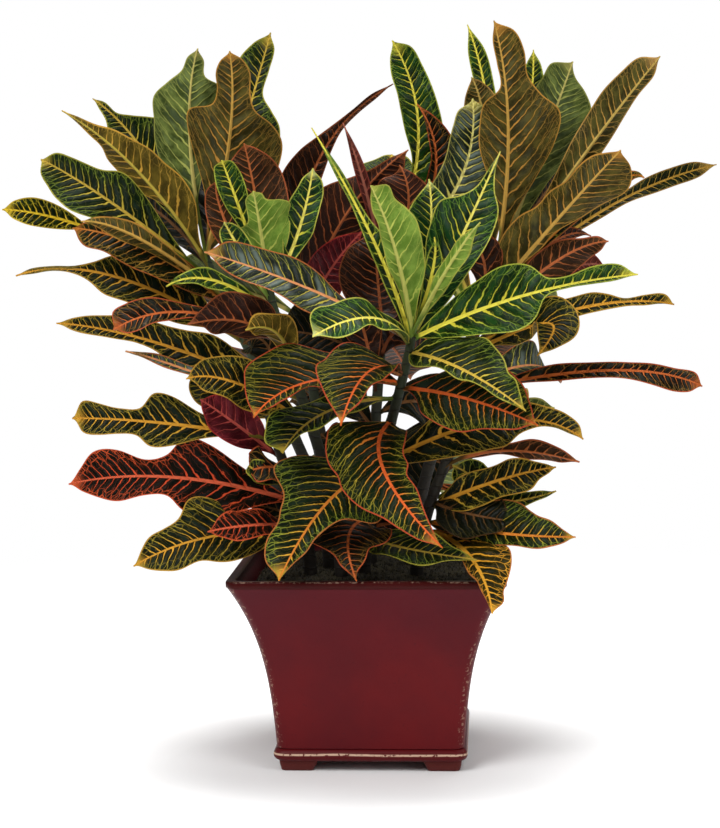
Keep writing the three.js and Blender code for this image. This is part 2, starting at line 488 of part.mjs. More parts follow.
// A blade: the upper face has three points across, at both edges and the midrib, and the
// lower face lies a blade's thickness below, split into the same triangles.
function leafSolid([stemName, at, halfway, tip, look, twist, width, left, right = left], index) {
  const stem = STEMS.find(([name]) => name === stemName);
  const midrib = midribCurve(stemCurve(stem).getPoint(at), place(halfway), place(tip));
  const facing = lookDirection(look);
  const steps = left.length - 1;
  const isBare = (i) => left[i] === '0' && right[i] === '0';
  const points = [];
  for (let i = 0; i <= steps; i += 1) {
    if (i > 0 && isBare(i) && isBare(i + 1)) continue;
    const share = i / steps;
    const along = midrib.getTangent(share);
    const normal = facing.clone().addScaledVector(along, -facing.dot(along)).normalize()
      .applyAxisAngle(along, THREE.MathUtils.degToRad(twist) * (share - 0.5));
    const across = along.clone().cross(normal);
    const middle = midrib.getPoint(share);
    const edge = (side, outline) => {
      const half = bladeHalf(outline, width, i);
      const phase = 2 * Math.PI * WAVES * share + index * WAVE_START + side;
      const wave = WAVE * Math.min(1, half / FULL_WAVE_HALF) * Math.sin(phase);
      return middle.clone()
        .addScaledVector(across, side * half)
        .addScaledVector(along, VEIN_SWEEP * half)
        .addScaledVector(normal, FOLD * half + wave);
    };
    const keel = BLADE_THICKNESS + MIDRIB_DEPTH * (1 - share);
    const upper = [edge(-1, left), middle, edge(1, right)];
    const depths = [BLADE_THICKNESS, keel, BLADE_THICKNESS];
    const lower = upper.map((point, j) => point.clone().addScaledVector(normal, -depths[j]));
    points.push(...upper, ...lower);
  }
  const faces = [];
  const quad = (a, b, c, d) => faces.push(a, b, c, a, c, d);
  const end = points.length - 6;
  for (let near = 0; near < end; near += 6) {
    const far = near + 6;
    for (const j of [0, 1]) {
      quad(near + j, near + j + 1, far + j + 1, far + j);
      quad(near + 3 + j, far + 3 + j, far + 4 + j, near + 4 + j);
    }
    quad(near, far, far + 3, near + 3);
    quad(near + 2, near + 5, far + 5, far + 2);
  }
  quad(0, 3, 4, 1);
  quad(1, 4, 5, 2);
  quad(end, end + 1, end + 4, end + 3);
  quad(end + 1, end + 2, end + 5, end + 4);
  return fromFaces(points, faces);
}

function leafyStem(stem) {
  const leaves = LEAVES.flatMap(
    (leaf, index) => (leaf[0] === stem[0] ? [leafSolid(leaf, index)] : []),
  );
  return join([stemTube(stem), ...leaves]);
}

// ---------------------------------------------------------------- the whole object

const group = new THREE.Group();

function addPiece(name, solid, material) {
  const mesh = new THREE.Mesh(toGeometry(solid), material);
  mesh.name = name;
  group.add(mesh);
}

addPiece('planter', planter(), GLAZE);
addPiece('soil', soil(), EARTH);
addPiece('moss', moss(), MOSS);
for (const stem of STEMS) {
  const material = new THREE.MeshStandardMaterial({ color: FOLIAGE[stem[0]], roughness: 0.4 });
  addPiece(`leafy_stem_${stem[0]}`, leafyStem(stem), material);
}

export default group;
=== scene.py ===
"""A potted croton: nine leafy stems in a square glazed planter, on a pale floor."""
import math
import random

import bpy
import numpy as np
from mathutils import Matrix, Vector


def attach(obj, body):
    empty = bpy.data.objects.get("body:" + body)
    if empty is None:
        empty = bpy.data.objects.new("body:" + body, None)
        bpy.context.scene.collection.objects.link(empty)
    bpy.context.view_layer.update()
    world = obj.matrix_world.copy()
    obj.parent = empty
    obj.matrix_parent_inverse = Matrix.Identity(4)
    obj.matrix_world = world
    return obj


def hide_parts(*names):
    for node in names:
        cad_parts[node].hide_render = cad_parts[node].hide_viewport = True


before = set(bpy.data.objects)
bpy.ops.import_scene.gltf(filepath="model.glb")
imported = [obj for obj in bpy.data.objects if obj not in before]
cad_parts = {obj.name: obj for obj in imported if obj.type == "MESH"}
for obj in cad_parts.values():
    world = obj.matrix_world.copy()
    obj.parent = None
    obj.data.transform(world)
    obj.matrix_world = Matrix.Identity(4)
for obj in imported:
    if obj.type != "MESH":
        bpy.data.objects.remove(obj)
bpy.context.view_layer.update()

MM = 0.001
ANY_TURN = 6.28                # limit of a random angle, in radians

# ---------------------------------------- sizes, in millimetres

EYE = np.array([92.0, -1500.0, 396.0])
AIM = np.array([-8.6, 0.0, 258.0])
AIM_READING = (-8.3, 253.0)    # across and up, as the leaf table reads them, at AIM
ROLL = 0.75                    # degrees that the camera leans clockwise
LENS = 86.66                   # on a 36 mm sensor, for a frame of 720 by 828

RIM_HALF = 101.0
POT_HEIGHT = 147.0
POT_ROUNDING = 9.0
FOOT_HEIGHT = 8.0
FOOT_OUTER_HALF = 67.0
FOOT_TOP = 30.0
FOOT_BOTTOM = 23.0
FOOT_ROUNDING = 3.0
MOULDING_HALF = 71.6
MOULDING_TOP = 17.0
MOULDING_BULGE = 3.5
MOULDING_ROUNDING = 8.5
BODY_HALF = 69.2
BODY_START = MOULDING_TOP + 0.6
BODY_STRAIGHT_FLARE = 9.7
BODY_CURVED_FLARE = 21.1
RIM_BAND = 5.5
BODY_TOP = POT_HEIGHT - RIM_BAND
LIP = 1.3                      # radius along the rim's upper edges
WALL = 7.0
INNER_ROUNDING = 7.0
POT_FLOOR = 20.0
SOIL_TOP = 132.0
MOSS_TOP = 139.0

STEM_FOOT = 128.0              # a little under the soil's top
STEM_FOOT_RADIUS = 5.0
STEM_TOP_RADIUS = 3.2
STEM_STRAIGHT = 0.35           # share of its rise that a stem stands upright
STEM_OUT, STEM_UP = 0.72, 0.68  # where it bends: shares of the way out and up

BLADE_THICKNESS = 0.7
EDGE_THINNING = 0.35           # share of the thickness that is gone at the edge
MIDRIB_DEPTH = 2.2             # under the blade, at the stalk
MIDRIB_TIP_DEPTH = 0.3
MIDRIB_HALF = 1.9
GROOVE_DEPTH = 0.5             # over the midrib
GROOVE_HALF = 1.5
PETIOLE_HALF = 1.3
PETIOLE_TAPER = 0.6
TIP_HALF = 0.4
VEIN_SPACING = 8.6
VEIN_SWEEP = 0.5               # how far the blade's edge lies nearer the tip, to its half width
VEINS_EVEN = 0.4               # share of the veins spaced evenly; the rest crowd at the tip
VEIN_LEAN, VEIN_CURL = 0.3, 0.014
FOLD = 0.22                    # rise of the edge, to the half width
WAVE = 2.6
WAVES = 2.6                    # along one leaf
WAVE_SHIFT = 2.4               # radians from one leaf to the next
WAVE_HALF = 10                 # half width from which the edge waves in full
QUILT = 0.45                   # swelling between midrib and edge
QUILT_RATE = 0.33              # radians to a millimetre
QUILT_HALF = 12

# Stem: name, foot [x, y], top [x, y, z]
STEMS = {
    "left": ((-34, 8), (-128, 20, 381)),
    "mid_left": ((-22, -30), (-72, -40, 355)),
    "low_left": ((-46, -24), (-72, -52, 262)),
    "centre": ((-6, -12), (34, -60, 320)),
    "low_right": ((34, -26), (66, -52, 255)),
    "right": ((30, 12), (93, 20, 362)),
    "back": ((-4, 34), (10, 70, 385)),
    "back_left": ((-34, 42), (-62, 80, 350)),
    "back_right": ((34, 44), (80, 88, 335)),
}

# Leaves, by stem. Each has its tone, how far up the stem it grows, the place halfway along
# its midrib and the place of its tip (across, depth, up), the bearing and lift of its upper
# face, its twist and width, and the outline of one or both halves in ninths of half the width.
LEAF_GROUPS = [
    # the left stem's head
    ("left", [
        ("leafy", .97, (-137, 8, 462), (-131, -12, 530), (180, 0), 0, 56, "00025677320", "00279996320"),
        ("amber", .985, (-107, -4, 461), (-107, -20, 528), (180, 0), 0, 76, "04899743320", "01368843320"),
        ("leafy", .99, (-99, 50, 461), (-76, 70, 542), (0, 5), 0, 64, "01367655530", "01599852220"),
        ("leafy", .93, (-167, 50, 445), (-211, 65, 492), (-10, 10), 0, 61, "00245554210", "00279963110"),
        ("gilt", .95, (-175, -2, 436), (-234, -18, 483), (175, 20), 0, 41, "02898864210", "00115663210"),
        ("leafy", .9, (-192, -20, 410), (-250, -34, 446), (0, 25), 0, 50, "00135798640", "00257865430"),
        ("lemon", .88, (-209, 2, 392), (-279, -20, 408), (0, 15), 0, 22, "00000058960"),
        ("amber", .84, (-171, -32, 378), (-226, -50, 394), (0, 30), 0, 40, "14799998740", "02344444420"),
        ("amber", .86, (-175, -44, 386), (-219, -60, 399), (180, 10), 0, 16, "0379840"),
        ("gilt", .7, (-190, -28, 356), (-269, -50, 358), (0, 30), 0, 41, "02799842110", "02799731110"),
        ("shade", .94, (-160, 70, 405), (-200, 115, 420), (-60, 40), 0, 44, "04970"),
        ("shade", .82, (-160, 70, 355), (-192, 125, 360), (-90, 45), 0, 46, "0488750"),
        ("shade", .97, (-120, 66, 430), (-108, 98, 470), (0, 20), 0, 40, "04970"),
        ("shade", .72, (-120, 75, 330), (-150, 130, 325), (180, 50), 0, 44, "04970"),
        ("shade", .5, (-78, 4, 304), (-97, -4, 306), (0, 20), 0, 36, "04970"),
    ]),
    # the small head in front of it
    ("mid_left", [
        ("young", .97, (-99, -46, 407), (-113, -52, 445), (0, 10), 0, 20, "00025899860"),
        ("young", 1.0, (-83, -56, 389), (-89, -66, 422), (180, 0), 0, 48, "02578897320", "02688533320"),
        ("lush", .98, (-56, -50, 388), (-44, -56, 439), (5, 5), 0, 27, "00136898640", "00135777750"),
        ("ember", .95, (-86, -28, 411), (-96, -30, 458), (180, 10), 0, 46, "027998630"),
        ("ember", .93, (-108, -30, 394), (-117, -36, 430), (180, 0), 0, 24, "049960"),
        ("young", .9, (-118, -64, 354), (-155, -80, 350), (0, 30), 0, 15, "0379840"),
        ("lush", .94, (-99, -62, 377), (-111, -72, 398), (0, 10), 0, 18, "049960"),
        ("ember", .8, (-137, -66, 330), (-195, -88, 317), (0, 25), 0, 30, "00012345750", "00013457870"),
        ("umber", .78, (-95, -58, 323), (-139, -70, 321), (180, 20), 0, 40, "027998630", "026776520"),
        ("gilt", .68, (-70, -72, 314), (-95, -84, 317), (180, 30), 0, 26, "049960"),
        ("gilt", .6, (-156, -46, 305), (-238, -66, 322), (0, 28), 0, 42, "02467323320", "02587665420"),
        ("gilt", .5, (-98, -80, 275), (-140, -97, 280), (0, 30), 0, 36, "027998630"),
        ("dusk", .55, (-138, -62, 286), (-186, -66, 301), (0, 40), 0, 9, "0379840"),
    ]),
    # low leaves to the left
    ("low_left", [
        ("gilt", .85, (-156, -68, 246), (-226, -90, 250), (0, 28), 0, 40, "00258966650", "00259944550"),
        ("flame", .45, (-148, -74, 205), (-229, -94, 200), (0, 22), 0, 56, "03798556530", "02589546630"),
        ("ruby", .72, (-103, -56, 246), (-129, -66, 264), (0, 20), 0, 31, "027998630"),
        ("gilt", .22, (-116, -86, 161), (-180, -112, 138), (0, 38), 0, 58, "02478877530", "01479965420"),
        ("flame", .3, (-88, -96, 169), (-124, -110, 164), (0, 30), 0, 24, "049960"),
        ("leafy", .55, (-82, -66, 208), (-93, -72, 214), (0, 20), 0, 16, "049960"),
        ("ember", .66, (-78, -66, 213), (-92, -72, 210), (0, 30), 0, 30, "027998630"),
        ("shade", .3, (-70, -42, 180), (-92, -46, 184), (0, 30), 0, 30, "04970"),
    ]),
    # the centre stem, whose head looks to the viewer
    ("centre", [
        ("dusk", .98, (-40, -92, 345), (-126, -112, 376), (0, 30), 0, 37, "00138987640", "00013688750"),
        ("young", .97, (4, -72, 380), (-45, -50, 470), (10, 0), 0, 26, "02344432210", "04899632210"),
        ("young", 1.0, (20, -86, 373), (0, -92, 426), (170, 0), 0, 40, "02478997550", "01234443320"),
        ("lush", .99, (64, -60, 377), (98, -52, 452), (-5, 0), 0, 49, "01358995210", "02456776310"),
        ("lush", .95, (44, -50, 372), (44, -40, 431), (0, 0), 0, 44, "027998630"),
        ("young", 1.0, (58, -84, 362), (83, -96, 398), (150, 0), 0, 15, "0379840"),
        ("young", 1.0, (46, -76, 358), (48, -80, 387), (0, 0), 0, 12, "0379840"),
        ("young", .985, (113, -100, 342), (202, -120, 359), (0, 25), 0, 52, "03678732330", "03689721110"),
        ("lush", .97, (1, -112, 326), (-44, -150, 312), (0, 35), 0, 36, "05766667640", "02356788860"),
        ("leafy", .93, (69, -118, 287), (117, -170, 256), (0, 35), 0, 54, "06799875420", "04443322210"),
        ("glossy", .84, (-2, -102, 285), (-23, -154, 245), (-15, 40), 0, 64, "02456554310", "05899986420"),
        ("glossy", .8, (-45, -86, 278), (-89, -122, 251), (-10, 50), 0, 68, "023333220", "057999630"),
        ("leafy", .74, (-35, -70, 254), (-67, -100, 224), (-10, 40), 0, 44, "01345543210", "01245679860"),
        ("glossy", .64, (9, -112, 212), (54, -160, 152), (-12, 32), 0, 80, "04554433210", "07887764320"),
        ("vivid", .42, (-33, -88, 186), (-70, -120, 127), (-5, 35), 0, 86, "04799532210", "04899654430"),
        ("ember", .22, (-17, -72, 160), (-11, -110, 127), (0, 45), 0, 66, "02689854310", "02689963210"),
        ("leafy", .15, (24, -72, 152), (80, -100, 143), (0, 50), 0, 34, "027998630"),
        ("glossy", .78, (71, -98, 265), (126, -140, 245), (0, 32), 0, 60, "027998630"),
        ("gilt", .45, (96, -80, 248), (161, -98, 234), (0, 25), 0, 44, "03678754430", "05899952110"),
    ]),
    # low leaves to the right
    ("low_right", [
        ("sheen", .95, (105, -60, 256), (139, -64, 258), (180, 20), 0, 15, "049960"),
        ("ember", .72, (101, -52, 226), (158, -60, 217), (180, 25), 0, 18, "0255870", "0255870"),
        ("gilt", .44, (94, -70, 202), (140, -84, 213), (0, 25), 0, 30, "03677776420", "05999998530"),
        ("leafy", .45, (101, -56, 186), (140, -62, 195), (0, 40), 0, 14, "0379840"),
        ("vivid", .35, (96, -78, 163), (155, -92, 160), (0, 30), 0, 48, "02479975420", "02344444320"),
        ("sun", .3, (75, -88, 145), (92, -120, 102), (15, 25), 0, 50, "01258986430", "01223332210"),
        ("shade", .48, (72, -66, 178), (108, -76, 172), (0, 35), 0, 44, "027998630"),
    ]),
    # the right stem's head
    ("right", [
        ("amber", 1.0, (104, 0, 461), (93, -14, 551), (180, 0), 0, 77, "01258964430", "00135541110"),
        ("young", .97, (91, 42, 465), (73, 56, 548), (0, 0), 0, 15, "0379980"),
        ("olive", .95, (88, 26, 455), (76, 28, 508), (180, 0), 0, 34, "027998630"),
        ("young", .97, (116, 40, 455), (123, 52, 529), (0, 0), 0, 20, "0135999850"),
        ("leafy", .95, (126, 22, 446), (153, 12, 520), (180, 5), 0, 52, "00135899620", "00123567650"),
        ("olive", .93, (159, 2, 446), (219, -14, 524), (180, 10), 0, 34, "00123554330", "00135789860"),
        ("amber", .9, (144, -12, 404), (189, -26, 453), (180, 18), 0, 51, "01122579850", "05886655420"),
        ("olive", .88, (172, 48, 405), (262, 92, 442), (0, 20), 40, 14, "00135669980"),
        ("ember", .8, (137, 4, 367), (180, -6, 384), (180, 15), 0, 36, "028987530", "024665320"),
        ("ruby", .78, (138, 14, 358), (177, 12, 365), (180, 15), 0, 22, "049960"),
        ("umber", .83, (132, 22, 379), (167, 32, 388), (0, 30), 0, 13, "0379840"),
        ("gilt", .75, (162, -24, 334), (230, -18, 336), (0, 30), 40, 22, "04899852450", "03798643310"),
        ("gilt", .72, (133, -48, 322), (126, -74, 297), (15, 25), 0, 39, "027998630"),
        ("ember", .58, (176, -24, 286), (251, -42, 274), (0, 30), 40, 26, "02455544450", "02344567860"),
        ("shade", .9, (128, 70, 415), (150, 125, 428), (90, 40), 0, 36, "04970"),
        ("shade", .75, (126, 72, 335), (140, 130, 322), (60, 45), 0, 44, "04970"),
        ("dusk", .6, (118, 72, 290), (136, 125, 280), (60, 45), 0, 42, "04970"),
        ("umber", .85, (86, 6, 366), (74, 2, 384), (0, 10), 0, 30, "04970"),
    ]),
    # tall leaves behind the centre
    ("back", [
        ("young", .98, (36, 66, 461), (16, 66, 536), (0, 0), 0, 38, "00012566640", "01479987650"),
        ("ember", .93, (48, 48, 430), (35, 42, 488), (0, 0), 0, 36, "012332210", "027998630"),
        ("sheen", .95, (64, 26, 423), (77, 20, 492), (0, 5), 0, 34, "01479999860"),
        ("umber", .9, (28, 22, 405), (22, 18, 441), (180, 0), 0, 48, "037630", "049960"),
        ("ruby", .9, (-4, 16, 423), (-21, 10, 473), (180, 0), 0, 9, "0379840"),
        ("umber", .75, (6, -6, 345), (2, -10, 396), (0, 0), 0, 56, "04970"),
        ("leafy", .95, (12, 120, 420), (16, 165, 450), (0, 30), 0, 46, "04970"),
        ("gilt", .85, (-5, 130, 360), (-10, 170, 350), (180, 55), 0, 60, "04970"),
        ("ember", .7, (20, 120, 300), (30, 168, 280), (180, 50), 0, 60, "04970"),
        ("ember", .3, (0, 100, 210), (-4, 160, 175), (180, 50), 0, 50, "04970"),
        ("shade", .55, (-22, 76, 275), (-62, 116, 262), (0, 20), 0, 56, "04970"),
        ("shade", .45, (38, 34, 262), (66, 36, 238), (0, 20), 0, 50, "04970"),
        ("shade", .6, (-28, 33, 309), (-72, 31, 316), (0, 15), 0, 54, "04970"),
        ("umber", .62, (24, 30, 318), (50, 24, 300), (0, 15), 0, 50, "04970"),
        ("shade", .32, (30, 33, 222), (62, 32, 212), (0, 5), 0, 62, "04970"),
        ("shade", .36, (-20, 30, 228), (-38, 29, 238), (0, 5), 0, 34, "04970"),
        ("shade", .14, (-20, 30, 180), (-48, 28, 172), (0, 5), 0, 54, "04970"),
        ("umber", .1, (16, 30, 170), (40, 28, 166), (0, 5), 0, 40, "04970"),
    ]),
    # the back, left and right
    ("back_left", [
        ("umber", .9, (-20, 36, 402), (28, 34, 453), (180, 10), 0, 64, "027998630", "027974210"),
        ("ruby", .85, (-34, 30, 357), (-6, 10, 392), (0, 10), 0, 34, "027998630"),
        ("umber", .96, (-43, 62, 438), (17, 70, 503), (20, 10), 20, 46, "03799742110", "00123321110"),
        ("ember", .97, (-40, 100, 376), (-32, 140, 418), (0, 20), 0, 54, "04970"),
        ("leafy", .9, (-110, 125, 352), (-150, 165, 350), (180, 45), 0, 50, "04970"),
        ("gilt", .8, (-62, 130, 325), (-60, 168, 300), (180, 50), 0, 52, "04970"),
        ("ember", .62, (-90, 120, 290), (-112, 165, 285), (180, 45), 0, 50, "04970"),
        ("gilt", .5, (-104, 76, 264), (-134, 92, 285), (0, 30), 0, 36, "04970"),
        ("leafy", .4, (-62, 110, 196), (-78, 155, 166), (180, 50), 0, 50, "04970"),
        ("ember", .25, (-80, 80, 190), (-108, 120, 168), (-90, 55), 0, 46, "04970"),
    ]),
    ("back_right", [
        ("gilt", .97, (58, 130, 385), (55, 172, 398), (180, 30), 0, 46, "04970"),
        ("leafy", .9, (110, 120, 335), (132, 165, 330), (180, 45), 0, 50, "04970"),
        ("ember", .8, (85, 135, 310), (90, 170, 285), (180, 50), 0, 52, "04970"),
        ("gilt", .6, (90, 110, 262), (108, 155, 250), (180, 45), 0, 50, "04970"),
        ("leafy", .45, (52, 120, 222), (56, 170, 190), (180, 50), 0, 52, "04970"),
        ("ember", .3, (88, 70, 185), (108, 115, 165), (90, 55), 0, 44, "04970"),
        ("young", .95, (50, 115, 375), (35, 150, 410), (180, 30), 0, 42, "04970"),
    ]),
    # small leaves out at the right and inside the crown
    ("right", [
        ("vivid", .9, (168, -2, 416), (207, -10, 432), (0, 20), 0, 14, "0379840"),
    ]),
    ("back", [
        ("umber", .5, (-6, 24, 318), (-18, 22, 338), (0, 10), 0, 34, "04970"),
        ("shade", .4, (-14, 26, 262), (-26, 24, 272), (0, 10), 0, 36, "04970"),
    ]),
    ("low_right", [
        ("leafy", .5, (75, -43, 201), (62, -50, 214), (0, 20), 0, 28, "049960"),
    ]),
]
LEAVES = [(stem, *leaf) for stem, leaves in LEAF_GROUPS for leaf in leaves]

# The colours of a face, in this order, then how wide its veins are, how much of the fine net
# shows, its gloss, and how much painted sheen, a pale colour that stands in for highlights, lies between
# the veins.
TONE_COLOURS = ("blade", "mottle", "vein", "vein_out", "rib", "margin", "tip", "stalk")


def tone(colours, width=1.0, net=0.6, gloss=0.06, painted_sheen=0.0):
    return dict(zip(TONE_COLOURS, colours.split()), width=width, net=net, gloss=gloss, painted_sheen=painted_sheen)


UPPER_TONES = {
    "young": tone("#0c1f08 #1b3f11 #ccc03a #88a436 #eadd50 #aab040 #ccc040 #6c8834", .95, .6, .08, .05),
    "lush": tone("#0b200e #163a18 #d4c840 #7ca83c #f3e66b #c4c050 #e0dc98 #84a048", 1.0, .5, .08, .12),
    "leafy": tone("#081405 #0e2009 #c4ac40 #8ca038 #c8a842 #a8a03c #c09a38 #5c6e28", .9, .5, .06, .08),
    "gilt": tone("#070f05 #0e1a08 #dca034 #c0a83c #d89a34 #b88c34 #cc9a34 #746428", 1.0, .5, .06, .04),
    "lemon": tone("#0b1606 #16280b #f3cb36 #ddc736 #f7d036 #c8a830 #e0bc34 #746c28", 1.2, .8),
    "amber": tone("#0a1007 #141f0b #c87c32 #bc9038 #d08038 #a85e2c #b4662e #6c5c26", 1.0, .6),
    "vivid": tone("#081305 #0f2009 #d89f34 #a6b13d #e18732 #b86c34 #d8983a #7c6028", 1.0, .5, .07, .05),
    "ember": tone("#090b06 #141107 #cc6a34 #a87c36 #d06c36 #b8542e #b8582e #603c20", .9, .5, .07, .08),
    "glossy": tone("#081405 #0e1f09 #d8762f #baad3d #e1662f #b84a2c #d6763a #84542a", 1.0, .4, .04, .06),
    "dusk": tone("#0b140e #14211a #baa841 #b1b141 #ea9b62 #b8662e #c8703a #84602e", .8, .2, .2, .5),
    "sheen": tone("#0e1a10 #1c3020 #e1d46b #d0cb62 #f3e685 #c4b85c #c8b860 #7c8844", 1.1, .2, .2, .6),
    "flame": tone("#090b06 #140f08 #d04c2b #d0532b #d86241 #c0502c #cc6034 #742e1e", 1.0, 1.0),
    "ruby": tone("#3a0e12 #621c24 #b84a42 #9c3a38 #c05448 #a8342e #b0403a #602420", .8, .5),
    "umber": tone("#180b06 #281409 #a4582e #8c4e28 #a85c32 #8c4824 #9a5430 #4c2c1a", .8, .4, .12),
    "olive": tone("#0e1406 #19230b #b18936 #a48e41 #be923a #9c7434 #a8803a #74682c", .9, .5),
    "sun": tone("#181b08 #352f0c #f3ad32 #eeaa36 #f3b13a #c07434 #dca43c #7c6428", 1.5, 1.0),
    # shade: painted shade, near-black leaves that fill the shadow inside the crown
    "shade": tone("#060b04 #0d1307 #664320 #554c24 #6f4a29 #4c3218 #60401f #302c16", .8, .4, .1),
}
UNDER_TONES = {
    "young": tone("#5c7a28 #7e9a3e #bcc45c #a8b450 #c4c466 #a8a848 #a4a444 #748c3c", 1.2, .3, .08),
    "lush": tone("#3f5a1a #567327 #9faf47 #8e9f3f #b4b454 #a4a448 #a0a044 #708838", .8, .3),
    "leafy": tone("#38451a #6c7a3a #b0b45c #9ca252 #ccbe6c #a0a04c #8c7c48 #68742e", 1.1, .4, .12, .1),
    "gilt": tone("#44390f #66561c #cc9c3c #bc963a #c0aa44 #c8983a #b88c38 #70682a", 1.1, .5, .08),
    "lemon": tone("#352e0c #514216 #c09037 #af8a37 #af9b3f #b08434 #b88c38 #70682a", 1.0, .6),
    "amber": tone("#302b0d #544c1e #c08a3c #a88036 #cca04c #bc8838 #cc8a38 #74702c", 1.1, .5, .08, .06),
    "vivid": tone("#27270d #393515 #a77930 #927933 #af863b #94642e #a4743a #6c602a", .9, .5),
    "ember": tone("#281a0d #402a15 #b46434 #985a30 #bc683a #a85630 #9c5830 #5c4420", .9, .5, .08),
    "glossy": tone("#271c0d #392a15 #9f5e33 #8a6437 #a7693b #904c30 #985c38 #6c4c2a", .8, .4),
    "dusk": tone("#272715 #3d3920 #9b713b #8a693d #a77947 #906038 #98683c #6c5430", .8, .4),
    "sheen": tone("#35401c #535e2e #a7a354 #92924b #b8af60 #94904c #9c944c #6c7434", .9, .4),
    "flame": tone("#270f0b #3b1c16 #a74b33 #964733 #af5c3f #944430 #a05034 #683428", .9, .6),
    "ruby": tone("#401814 #603028 #b0584a #984a3c #a3604e #883c30 #904834 #603026", .8, .5),
    "umber": tone("#22110a #34190e #a4582e #8c4e28 #a85c32 #8c4824 #9a5430 #4c2c1a", .9, .4, .12),
    "olive": tone("#302c0e #4e4a1e #b88c40 #a4823c #c4a654 #b48a44 #a8804a #70702e", 1.1, .5, .1),
    "sun": tone("#352e0c #514216 #c09037 #af8a37 #af9b3f #b08434 #b88c38 #70682a", 1.2, .8),
    # shade: painted shade, near-black leaves that fill the shadow inside the crown
    "shade": tone("#0f0d08 #18150c #503b22 #433b20 #584324 #40301c #4c3820 #302a18", .7, .3, .1),
}
# ---------------------------------------- shader helpers


def colour(code):
    """A hex colour as linear red, green, blue and alpha."""
    shares = [int(code[i:i + 2], 16) / 255 for i in (1, 3, 5)]
    linear = [s / 12.92 if s <= 0.04045 else ((s + 0.055) / 1.055) ** 2.4 for s in shares]
    return (*linear, 1.0)


class Signal:
    """A shader socket that can be added, multiplied and compared like a number."""

    def __init__(self, finish, socket):
        self.finish = finish
        self.socket = socket

    def math(self, operation, *others):
        return self.finish.math(operation, self, *others)

    def __add__(self, other):
        return self.math("ADD", other)

    __radd__ = __add__

    def __sub__(self, other):
        return self.math("SUBTRACT", other)

    def __rsub__(self, other):
        return self.finish.math("SUBTRACT", other, self)

    def __mul__(self, other):
        return self.math("MULTIPLY", other)

    def __abs__(self):
        return self.math("ABSOLUTE")

    def most(self, other):
        return self.math("MAXIMUM", other)

    def least(self, other):
        return self.math("MINIMUM", other)

    def fraction(self):
        return self.math("FRACT")

    def floor(self):
        return self.math("FLOOR")

    def above(self, other):
        return self.math("GREATER_THAN", other)

    def step(self, start, end):
        """Smoothly from 0 at start to 1 at end. Either may be a signal, and end may be below."""
        return self.finish.node(
            "ShaderNodeMapRange", {"interpolation_type": "SMOOTHSTEP"},
            {"Value": self, "From Min": start, "From Max": end},
        )


class Finish:
    """The node tree of one material."""

    def __init__(self, name):
        self.material = bpy.data.materials.new(name)
        self.material.use_nodes = True
        self.tree = self.material.node_tree
        self.tree.nodes.clear()

    def node(self, kind, settings=None, inputs=None, output=0):
        made = self.tree.nodes.new(kind)
        for key, value in (settings or {}).items():
            setattr(made, key, value)
        for key, value in (inputs or {}).items():
            if isinstance(value, Signal):
                self.tree.links.new(value.socket, made.inputs[key])
            else:
                made.inputs[key].default_value = value
        return Signal(self, made.outputs[output])

    def math(self, operation, *values):
        return self.node("ShaderNodeMath", {"operation": operation}, dict(enumerate(values)))

    def mix(self, share, first, second):
        """A mix of two colours, each a signal or a hex code."""
        first, second = [colour(c) if isinstance(c, str) else c for c in (first, second)]
        return self.node("ShaderNodeMix", {"data_type": "RGBA"}, {0: share, 6: first, 7: second}, 2)

    def parts(self, vector):
        """The x, y and z of a vector."""
        whole = self.node("ShaderNodeSeparateXYZ", None, {0: vector})
        outputs = whole.socket.node.outputs
        return [Signal(self, outputs[i]) for i in range(3)]

    def join(self, x, y):
        return self.node("ShaderNodeCombineXYZ", None, {0: x, 1: y})

    def uv(self, name):
        """The two values of a UV map."""
        return self.parts(self.node("ShaderNodeUVMap", {"uv_map": name}))[:2]

    def noise(self, vector, scale, detail=3.0, roughness=0.55, dimensions="3D"):
        return self.node(
            "ShaderNodeTexNoise", {"noise_dimensions": dimensions},
            {"Vector": vector, "Scale": scale, "Detail": detail, "Roughness": roughness},
        )

    def place(self):
        return self.node("ShaderNodeTexCoord", None, None, 3)

    def bump(self, height, distance, strength=1.0):
        return self.node(
            "ShaderNodeBump", None,
            {"Height": height, "Distance": distance, "Strength": strength},
        )

    def principled(self, **inputs):
        named = {key.replace("_", " "): value for key, value in inputs.items()}
        return self.node("ShaderNodeBsdfPrincipled", None, named)

    def output(self, shader):
        out = self.tree.nodes.new("ShaderNodeOutputMaterial")
        self.tree.links.new(shader.socket, out.inputs["Surface"])
        return self.material


# ---------------------------------------- finishes

# On a blade, reach is the share of the way from midrib to edge, share is the share of the way
# from stalk to tip, and what lies across the veins is measured in the space between two veins.
VEIN_WANDER = 0.5              # drift of the whole pattern
VEIN_SHIFT = 0.3               # of one vein off its even place
FORK_REACH, FORK_SPREAD, FORK_OPENING = 0.5, 0.3, 0.8
VEIN_HALF, VEIN_HALF_SPREAD, VEIN_HALF_LEAST = 0.02, 0.075, 0.008
VEIN_SOFTNESS = 0.03
MINOR_HALF, MINOR_SHOWS = (0.045, 0.01), 0.2
NET_ALONG, NET_ACROSS = 0.22, 0.17  # cells to a millimetre
NET_LINE = (0.07, 0.012)
WANDER_SCALE, PAINTED_SHEEN_SCALE, MOTTLE_SCALE, FINE_SCALE = 0.16, 0.05, 0.09, 0.5
# Painted sheen: the pale colour laid between the veins in place of highlights
PAINTED_SHEEN_COLOUR = "#8c9c90"
HALO_SHOWS = 0.3
# Widths on a blade, in millimetres
RIB_LINE_HALF, RIB_LINE_TAPER = 0.35, 1.35
MARGIN_LINE = (1.1, 0.45)
STALK_HALF = (3.2, 1.7)
BLADE_BUMP = 0.0011            # metres
FACE_ROUGHNESS, UNDERSIDE_ROUGHNESS = 0.26, 0.42


